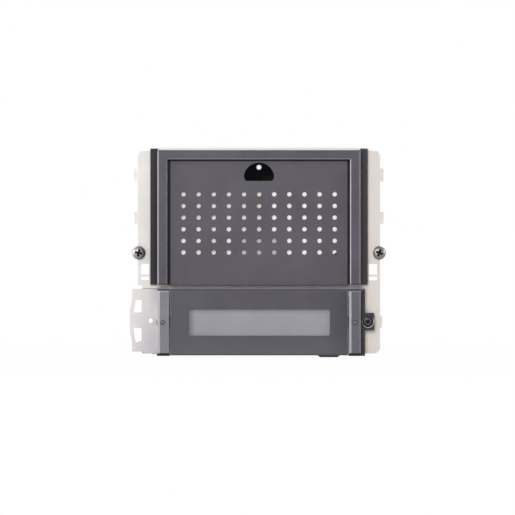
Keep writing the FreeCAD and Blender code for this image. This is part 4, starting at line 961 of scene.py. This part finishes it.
for side, body, name, node in ((-1, "left_call_bar", "left_button_bar", "left_call_button"),
                               (1, "right_call_bar", "right_button_bar", "right_call_button")):
    inner, outer, front, back = BAR
    bar = block(name, sided(side, inner, outer), (front, back), BAR_Z)
    edge, width = WIDE_CHAMFER[side]
    bevelled(bar, width, 1, lambda a, b: at_level(a, b, front)
             and max(abs(a.x - edge), abs(b.x - edge)) < 0.01)
    bevelled(bar, BAR_CHAMFER, 1, lambda a, b: at_level(a, b, front)
             and not max(abs(a.x - edge - width), abs(b.x - edge - width)) < 0.01)
    pieces = []
    for way in (-1, 1):
        near = DOOR_MID + way * (SLOT_BRIDGE / 2 + STEM_PLAY)
        far = DOOR_MID + way * (SLOT_REACH - STEM_PLAY)
        pieces += [block("stem", sided(side, *STEM_X), (back - JOIN, STEM_BACK),
                         sorted((near, far))),
                   block("catch", sided(side, *STEM_X), (STEM_BACK - hook_deep, STEM_BACK),
                         sorted((far - way, far + way * hook_high)))]
    pieces.append(block("nose", sided(side, *STEM_X), (STEM_BACK - JOIN, NOSE[2]),
                        (NOSE[0] - NOSE[1], NOSE[0] + NOSE[1])))
    combine(bar, "UNION", pieces)
    x, radius, level = LIGHT
    combine(bar, "DIFFERENCE", [turned("hole", side * x, DOOR_MID, [
        (0, front - 0.5), (radius + 0.65, front - 0.5), (radius + 0.15, front),
        (radius + 0.03, front + 0.12), (radius + 0.03, back + 0.5), (0, back + 0.5)], steps=32)])
    soften(bar, BAR_EDGE)
    finish = moulding(node.replace("_", " "), BAR_COLOUR[side], rough=0.36,
                      cloud=BAR_CLOUD[side], grain=5200, height=0.012, rub_and_sheen=0.14,
                      rub_and_sheen_light=BAR_RUB_AND_SHEEN[side], gloss=0.25)
    dress(bar, tinted(finish, BAR_TINTS[side]))
    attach(bar, body)
    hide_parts(node)


# A smoked acrylic point in the middle of each bar passes the light from behind. It is pushed in
# from the front, a little below the bar's face, and its top is faintly domed.
POINT_DOME = [(0, 0), (0.5, 0.03), (0.85, 0.12)]

smoke = moulding("smoked light point", (0.13, 0.13, 0.145), rough=0.14, cloud=0.1, grain=2600,
                 height=0.003)
for side, body, name, node in ((-1, "left_call_bar", "left_light_point", "left_button_light"),
                               (1, "right_call_bar", "right_light_point", "right_button_light")):
    x, radius, level = LIGHT
    dome = [(r, level + fall) for r, fall in POINT_DOME + [(radius, 0.3)]]
    point = turned(name, side * x, DOOR_MID, dome + [(radius, BAR[3]), (0, BAR[3])], steps=32)
    soften(point, 0.03)
    dress(point, smoke)
    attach(point, body)
    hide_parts(node)


# The window over the name card is a 1.2 mm sheet of frosted polycarbonate, laid in from behind.
# The blank card, an opal sheet and the snap-in frame follow it.
LENS = (31.75, 6.999, -6.3, -5.1)
SHADE_AT_LEFT = (-30.8, -27.4)
SHADE_ON_TOP = (-26.2, -24.2)

lens = block("frosted_window", (-LENS[0], LENS[0]), LENS[2:],
             (DOOR_MID - LENS[1], DOOR_MID + LENS[1]))
bevelled(lens, 0.5, 4, deep_edge)
soften(lens, 0.08)
frost, made, link, shader, place = started("frosted window")
veil = stretched(made, link, noise(made, link, place, 60, 5, 0.6), 0, 1)
clear = blended(made, link, veil, (0.268, 0.264, 0.300), (0.293, 0.288, 0.324))
# painted shadow along the window's left and top edges
lit = product(made, link,
              stretched(made, link, along(made, link, place, "X"), 0.1, 1,
                        *(level * MM for level in SHADE_AT_LEFT)),
              stretched(made, link, along(made, link, place, "Z"), 1, 0.66,
                        *(level * MM for level in SHADE_ON_TOP)))
link(blended(made, link, lit, (0.085, 0.082, 0.095), clear), shader.inputs["Base Color"])
link(stretched(made, link, noise(made, link, place, 500, 4), 0.38, 0.52),
     shader.inputs["Roughness"])
shader.inputs["Subsurface Weight"].default_value = 0.12
shader.inputs["Subsurface Radius"].default_value = (0.0012, 0.0012, 0.0013)
rough_skin(made, link, shader, place, 9000, 0.006)
dress(lens, frost)
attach(lens, "name_plate_door")
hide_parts("card_window")

card_paper = moulding("card stock", (0.78, 0.77, 0.74), rough=0.85, grain=2500)
opal = moulding("opal sheet", (0.84, 0.83, 0.81), rough=0.4, cloud=0.03, grain=3000, height=0.006)
dress(nodes["name_card"], card_paper)
dress(nodes["card_diffuser"], opal)
dress(nodes["glow_plate"], opal)
dress(nodes["card_retainer"], graphite)


# The hinge leaf is a pale die-cast and lacquered plate, staked to the chassis from the front. Two
# windows lighten it, its foot is stepped, and two barrels take the hinge pin.
LEAF_Y = (-2.2, -1.0)
LEAF_RIGHT = -42.8
LEAF_EDGE = [
    (LEAF_RIGHT, -15.5), (-54.7, -15.5), (-54.7, -19.9), (-55.7, -24.8), (-55.7, -33.5),
    (-54.7, -38.7), (-54.7, -42.6), (-49.9, -42.6), (-49.9, -43.2), (-46.0, -43.2),
    (-46.0, -43.7), (LEAF_RIGHT, -43.7)]
BARREL_RADIUS = 0.9
BARREL_SPANS = ((-43.25, -31.15), (-28.65, -16.55))
LEAF_HOLE = (-46.8, -29.2, 1.0)
STAKES = ((-48.3, -38.9), (-48.3, -20.9))
STAKE = (0.8, (LEAF_Y[1] - 0.3, -0.3))
STAKE_HEAD = (1.4, (-0.6, 0))
LEAF_TINTS = [
    # painted light to the left, and painted shade beside the bar
    ("X", (-45, -61), (0.80, 0.77, 0.76)),
    ("X", (-48, -42.5), (0.42, 0.41, 0.43), ("Z", (-27, -20)))]
LEAF_WINDOWS = (
    [(-50.6, -25.7), (-54.2, -25.7), (-53.2, -20.3), (-50.6, -20.3)],
    [(-50.6, -32.4), (-54.2, -32.4), (-53.2, -38.7), (-50.6, -37.8)])

leaf = slab("hinge_plate", [(x, LEAF_Y[0], z) for x, z in LEAF_EDGE], LEAF_Y[1])
pieces = []
for x, z in STAKES:
    pieces += [rod("stake", x, z, *STAKE, 24), rod("stake_head", x, z, *STAKE_HEAD, 24)]
for span in BARREL_SPANS:
    pieces.append(upright("barrel", *HINGE, BARREL_RADIUS, span))
    pieces.append(block("web", (HINGE[0] - BARREL_RADIUS, LEAF_RIGHT), (HINGE[1], LEAF_Y[1]), span))
combine(leaf, "UNION", pieces)
x, z, radius = LEAF_HOLE
cuts = [upright("bore", *HINGE, PIN_RADIUS + 0.05, (-45, -15), 24),
        turned("locating_hole", x, z, [
            (0, -3), (1.9, -3), (radius + 0.12, LEAF_Y[0]), (radius, LEAF_Y[0] + 0.12),
            (radius, 1), (0, 1)], steps=32)]
cuts += [slab("window", [(x, -3, z) for x, z in outline], 0) for outline in LEAF_WINDOWS]
combine(leaf, "DIFFERENCE", cuts)
crisp(leaf)
lacquer, made, link, shader, place = started("pale lacquer")
# darker and bluer towards the foot: painted shade
fall = between(made, link, place, "Z", (-18.5, -44.5))
clouds = stretched(made, link, noise(made, link, place, 90, 5), 0, 1)
lit_coat = blended(made, link, clouds, (0.615, 0.585, 0.572), (0.65, 0.617, 0.61))
shaded_coat = blended(made, link, clouds, (0.43, 0.414, 0.45), (0.483, 0.467, 0.503))
link(blended(made, link, fall, lit_coat, shaded_coat), shader.inputs["Base Color"])
link(stretched(made, link, noise(made, link, place, 350, 4), 0.36, 0.48),
     shader.inputs["Roughness"])
rough_skin(made, link, shader, place, 1800, 0.012, 0.35, 4)
dress(leaf, tinted(lacquer, LEAF_TINTS))
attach(leaf, "module_body")
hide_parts("hinge_leaf")


# The lock is a quarter turn fastener: a bright turned ferrule pressed into the tab, and in it a
# blackened socket head on a spindle whose flat blade turns behind a slotted steel disc.
SPINDLE = (0.8, -4.75, -3.55, 0.4)
HEAD = (1.8, 0.25)
SOCKET = (1.0, 0.8)
BLADE = (1.0, 3.6, -0.4)
FERRULE_PROFILE = [
    (0.85, -2.9), (2.8, -2.9), (2.8, -4.98), (2.74, -5.13), (2.62, -5.25), (2.47, -5.3),
    (2.4, -5.28), (2.36, -5.2), (2.35, -5.0), (2.35, -3.5), (0.85, -3.5)]
# painted shade on the ferrule's side and its upper half
FERRULE_TINTS = [("Y", (-5.22, -5.14), (0.022, 0.02, 0.022)),
                 ("Z", (-29.6, -27.6), (0.05, 0.045, 0.05))]

ferrule = turned("bright_ferrule", *LOCK, FERRULE_PROFILE)
bpy.ops.object.shade_smooth_by_angle(angle=math.radians(35))
nickel = plated_steel("bright nickel", (0.40, 0.39, 0.41), rough=0.2, streak=700, dull=0.2)
tinted(nickel, FERRULE_TINTS)
dress(ferrule, nickel)
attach(ferrule, "name_plate_door")
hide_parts("lock_ferrule")

radius, bevel = HEAD
shaft, crown, seat, end = SPINDLE
lock = turned("lock_spindle_head", *LOCK, [
    (0, crown), (radius - bevel, crown), (radius - 0.08, crown + 0.08), (radius, crown + bevel),
    (radius, seat), (shaft, seat), (shaft, end), (0, end)], steps=48)
wide, long, blade_front = BLADE
combine(lock, "UNION", [block("blade", (LOCK[0] - wide / 2, LOCK[0] + wide / 2), (blade_front, end),
                              (LOCK[1] - long / 2, LOCK[1] + long / 2))])
blackened = plated_steel("blackened steel", (0.075, 0.068, 0.076), rough=0.36, streak=900, dull=0.3)
socket = rod("socket", *LOCK, SOCKET[0], (crown - 1, crown + SOCKET[1]), 6)
dress(lock, blackened)
# the socket gets painted shade
dress(socket, recess_shade)
combine(lock, "DIFFERENCE", [socket])
crisp(lock)
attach(lock, "door_lock")
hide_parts("lock_spindle")
dress(nodes["lock_strike"], zinc_plate)
dress(nodes["hinge_pin"], zinc_plate)


# The rear cover is a tray in the same white polycarbonate, with ports for the terminals, the two
# link sockets and the trimmers. Four thread forming screws hold it through the board's corners.
BOSS = (40.5, -37.4, 38.8)
COVER_SCREW = (2.1, 1.08, 3.8, 21.7, 22.9)
COVER_THREAD = (0.8, 1.1, 4.1, 0.5, 11)
COVER_RECESS = 0.72


def planted(model, name, x, z, turn):
    """A copy of a screw with a mesh of its own, turned about its axis and set in its place."""
    screw = model.copy()
    screw.data = model.data.copy()
    bpy.context.scene.collection.objects.link(screw)
    screw.rotation_euler.y = turn
    screw.location = (x * MM, 0, z * MM)
    return keep_place(screw, name)


cover = soften(recast("rear_cover", "moulded_rear_cover"), 0.1)
dress(cover, white_shell)
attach(cover, "module_body")
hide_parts("rear_cover")

head, shank, start, seat, crown = COVER_SCREW
model = turned("cover_screw", 0, 0, [(0, start), (0.45, start)] + ridges(*COVER_THREAD) + [
    (0.8, 9.6), (shank, 9.9), (shank, seat), (head - 0.03, seat), (head, seat + 0.1),
    (head - 0.1, seat + 0.62), (head - 0.5, crown - 0.2), (head - 1.1, crown - 0.04),
    (0.4, crown), (0, crown)], steps=32)
cutter = cross_cutter(0, 0, 0, 0.3)
cutter.rotation_euler.z = math.pi
cutter.scale = (COVER_RECESS, COVER_RECESS, COVER_RECESS)
cutter.location.y = crown * MM
combine(model, "DIFFERENCE", [keep_place(cutter, "cross")])
soften(model, 0.03, sharp=40)
dress(model, zinc_plate)
for side, turn in ((-1, 0.2), (1, 1.1)):
    for z in BOSS[1:]:
        name = "cover_screw_" + ("left" if side < 0 else "right") + ("_low" if z < 0 else "_high")
        screw = planted(model, name, side * BOSS[0], z, turn + z / 30)
        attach(screw, "module_body")
        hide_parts("cover_screws")
bpy.data.objects.remove(model)


# The wires from the building meet a four way screw terminal in grey polyamide, and two open
# sockets of the same grey take the leads that link this module to the next ones.
CLAMP_PROFILE = [(0, 18.4), (1.45, 18.4), (1.45, 21.3), (1.38, 21.5), (1.2, 21.6), (0, 21.6)]
CLAMP_TURNS = (0.1, 0.7, -0.5, 0.3)
CLAMP_FIRST = (-13.65, -28.0)
CLAMP_PITCH = 5.1

polyamide = moulding("grey polyamide", (0.36, 0.37, 0.38), rough=0.5, cloud=0.06, grain=4200,
                     height=0.015)
for node, name in (("terminal_block", "wire_terminals"), ("link_sockets", "open_link_sockets")):
    housing = soften(recast(node, name), 0.12)
    dress(housing, polyamide)
    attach(housing, "module_body")
    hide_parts(node)

clamp = turned("clamp_screw", 0, 0, CLAMP_PROFILE, steps=32)
combine(clamp, "DIFFERENCE", [block("slot", (-2, 2), (20.8, 23), (-0.27, 0.27))])
soften(clamp, 0.05)
dress(clamp, zinc_plate)
for way, turn in enumerate(CLAMP_TURNS):
    screw = planted(clamp, "clamp_screw_" + str(way + 1), CLAMP_FIRST[0] + way * CLAMP_PITCH,
                    CLAMP_FIRST[1], turn)
    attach(screw, "module_body")
    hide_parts("terminal_screws")
bpy.data.objects.remove(clamp)

brass = plated_steel("tinned brass", (0.72, 0.66, 0.52), rough=0.24, streak=900)
dress(nodes["link_contacts"], brass)


# Two trimmers on the board set the loudspeaker's volume and the microphone's level. Their cases
# are grey, and the white rotors reach through the rear cover for a small screwdriver.
ROTORS = ((-30.0, "volume_trimmer", "volume_rotor"),
          (-17.0, "microphone_trimmer", "microphone_rotor"))
ROTOR_Z = -14.0
ROTOR_PROFILE = [(0, 13.4), (2.4, 13.4), (2.4, 22.3), (2.3, 22.5), (2.1, 22.6), (0, 22.6)]
ROTOR_SLOT = (3, (21.4, 24), 0.35)

case_resin = moulding("dark resin", (0.05, 0.05, 0.055), rough=0.4, cloud=0.15, grain=3600,
                      height=0.012)
rotor_white = moulding("rotor white", (0.78, 0.76, 0.72), rough=0.42, grain=4200, height=0.01)
trimmers = soften(recast("trimmer_bodies", "trimmer_cases"), 0.12)
dress(trimmers, case_resin)
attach(trimmers, "module_body")
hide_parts("trimmer_bodies")
half, depth, thin = ROTOR_SLOT
for x, body, node in ROTORS:
    rotor = turned("turned_" + node, x, ROTOR_Z, ROTOR_PROFILE, steps=48)
    combine(rotor, "DIFFERENCE", [block("slot", (x - half, x + half), depth,
                                        (ROTOR_Z - thin, ROTOR_Z + thin))])
    soften(rotor, 0.06)
    dress(rotor, rotor_white)
    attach(rotor, body)
    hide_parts(node)


# Inside the housing stand the boards with their parts, the loudspeaker with its paper cone and
# the microphone. They are seen through the ports and holes, and when the module is taken apart.
inside = {
    ("main_board", "button_board"): moulding(
        "green board laminate", (0.025, 0.085, 0.05), rough=0.38, cloud=0.18, grain=1400, rub_and_sheen=0.15,
        rub_and_sheen_light=3.0),
    ("board_chips",): case_resin,
    ("board_capacitors",): moulding(
        "capacitor sleeve", (0.03, 0.032, 0.05), rough=0.3, cloud=0.1, grain=900, height=0.01),
    ("line_coil",): moulding(
        "coil winding", (0.42, 0.17, 0.07), rough=0.35, cloud=0.25, grain=2600, height=0.08),
    ("status_led", "card_backlights"): moulding(
        "light case", (0.82, 0.80, 0.70), rough=0.35, cloud=0.06, grain=2600, height=0.01),
    ("call_switches", "board_link"): moulding(
        "switch case", (0.03, 0.03, 0.033), cloud=0.15, grain=3600, height=0.012),
    ("left_switch_plunger", "right_switch_plunger"): moulding(
        "plunger", (0.30, 0.30, 0.31), rough=0.5, cloud=0.06, grain=3600, height=0.01),
    ("speaker_cone",): moulding(
        "cone paper", (0.055, 0.05, 0.048), rough=0.85, cloud=0.3, grain=1700, height=0.06),
    ("speaker_gasket",): moulding(
        "black foam", (0.02, 0.02, 0.022), rough=0.95, cloud=0.3, grain=2200, height=0.12),
    ("speaker_magnet",): moulding(
        "ferrite", (0.06, 0.06, 0.062), rough=0.55, cloud=0.2, grain=2600, height=0.03),
    ("speaker_basket",): zinc_plate,
    ("microphone_capsule",): plated_steel("capsule tin", (0.62, 0.62, 0.60), rough=0.25),
}
for names, finish in inside.items():
    for name in names:
        dress(nodes[name], finish)


# A plain studio: a pale floor right under the module, a soft key lamp at the upper left, two
# narrow lamps at the sides that draw the chamfers, and an even pale sky.
FLOOR_DROP = 0.05
FLOOR_FADE = (70, 260)
LAMPS = (("key", (-0.26, -0.91, 0.42), 0.5, 0.5, 5.0),
         ("back", (0.28, 0.95, 0.42), 0.5, 0.5, 2.6),
         ("left strip", (-0.75, -0.10, 0.05), 0.22, 0.6, 5.2),
         ("right strip", (0.75, -0.10, 0.05), 0.22, 0.6, 4.2))
SKY = 0.38
CAMERA = (-0.65, -1205.0, -1.99)
LENS_MM = 36 * 1.205 / 0.22236


def seen_straight(made, link):
    """1 for what the camera, a gloss or a clear piece sees, 0 for light that falls on a piece."""
    rays = made.new("ShaderNodeLightPath")
    share = rays.outputs["Is Camera Ray"]
    for other in ("Is Glossy Ray", "Is Transmission Ray"):
        total = made.new("ShaderNodeMath")
        total.operation = "ADD"
        total.use_clamp = True
        link(share, total.inputs[0])
        link(rays.outputs[other], total.inputs[1])
        share = total.outputs["Value"]
    return share


bpy.context.scene.view_settings.view_transform = "Standard"
bpy.ops.object.select_all(action="DESELECT")
bpy.ops.mesh.primitive_plane_add(size=6, location=(0, 0, cad_box[0].z - FLOOR_DROP * MM))
floor = keep_place(bpy.context.active_object, "floor")
pale, made, link, shader, place = started("pale floor")
shader.inputs["Base Color"].default_value = (0.86, 0.86, 0.86, 1)
shader.inputs["Roughness"].default_value = 0.9
dress(floor, pale)
reach = made.new("ShaderNodeVectorMath")
reach.operation = "LENGTH"
link(place, reach.inputs[0])
far = stretched(made, link, reach.outputs["Value"], 0.94, 1, *(level * MM for level in FLOOR_FADE))
paper = made.new("ShaderNodeEmission")
paper.inputs["Color"].default_value = (1, 1, 1, 1)
cover_up = made.new("ShaderNodeMixShader")
link(product(made, link, far, seen_straight(made, link)), cover_up.inputs["Fac"])
link(shader.outputs["BSDF"], cover_up.inputs[1])
link(paper.outputs["Emission"], cover_up.inputs[2])
link(cover_up.outputs["Shader"], made["Material Output"].inputs["Surface"])

world = bpy.data.worlds.new("studio")
bpy.context.scene.world = world
world.use_nodes = True
made = world.node_tree.nodes
link = world.node_tree.links.new
sky = made["Background"]
sky.inputs["Color"].default_value = (1, 1, 1, 1)
sky.inputs["Strength"].default_value = SKY
white = made.new("ShaderNodeBackground")
white.inputs["Color"].default_value = (1, 1, 1, 1)
white.inputs["Strength"].default_value = 1.0
choice = made.new("ShaderNodeMixShader")
link(seen_straight(made, link), choice.inputs["Fac"])
link(sky.outputs["Background"], choice.inputs[1])
link(white.outputs["Background"], choice.inputs[2])
link(choice.outputs["Shader"], made["World Output"].inputs["Surface"])

for name, where, wide, tall, power in LAMPS:
    light = bpy.data.lights.new(name, "AREA")
    light.shape = "RECTANGLE"
    light.size = wide
    light.size_y = tall
    light.energy = power
    lamp = bpy.data.objects.new(name, light)
    bpy.context.scene.collection.objects.link(lamp)
    lamp.location = where
    lamp.rotation_euler = (-lamp.location).to_track_quat("-Z", "Y").to_euler()

camera = bpy.data.objects.new("camera", bpy.data.cameras.new("camera"))
bpy.context.scene.collection.objects.link(camera)
bpy.context.scene.camera = camera
camera.location = [value * MM for value in CAMERA]
camera.rotation_euler = (math.pi / 2, 0, 0)
camera.data.lens = LENS_MM
camera.data.clip_start = 0.01
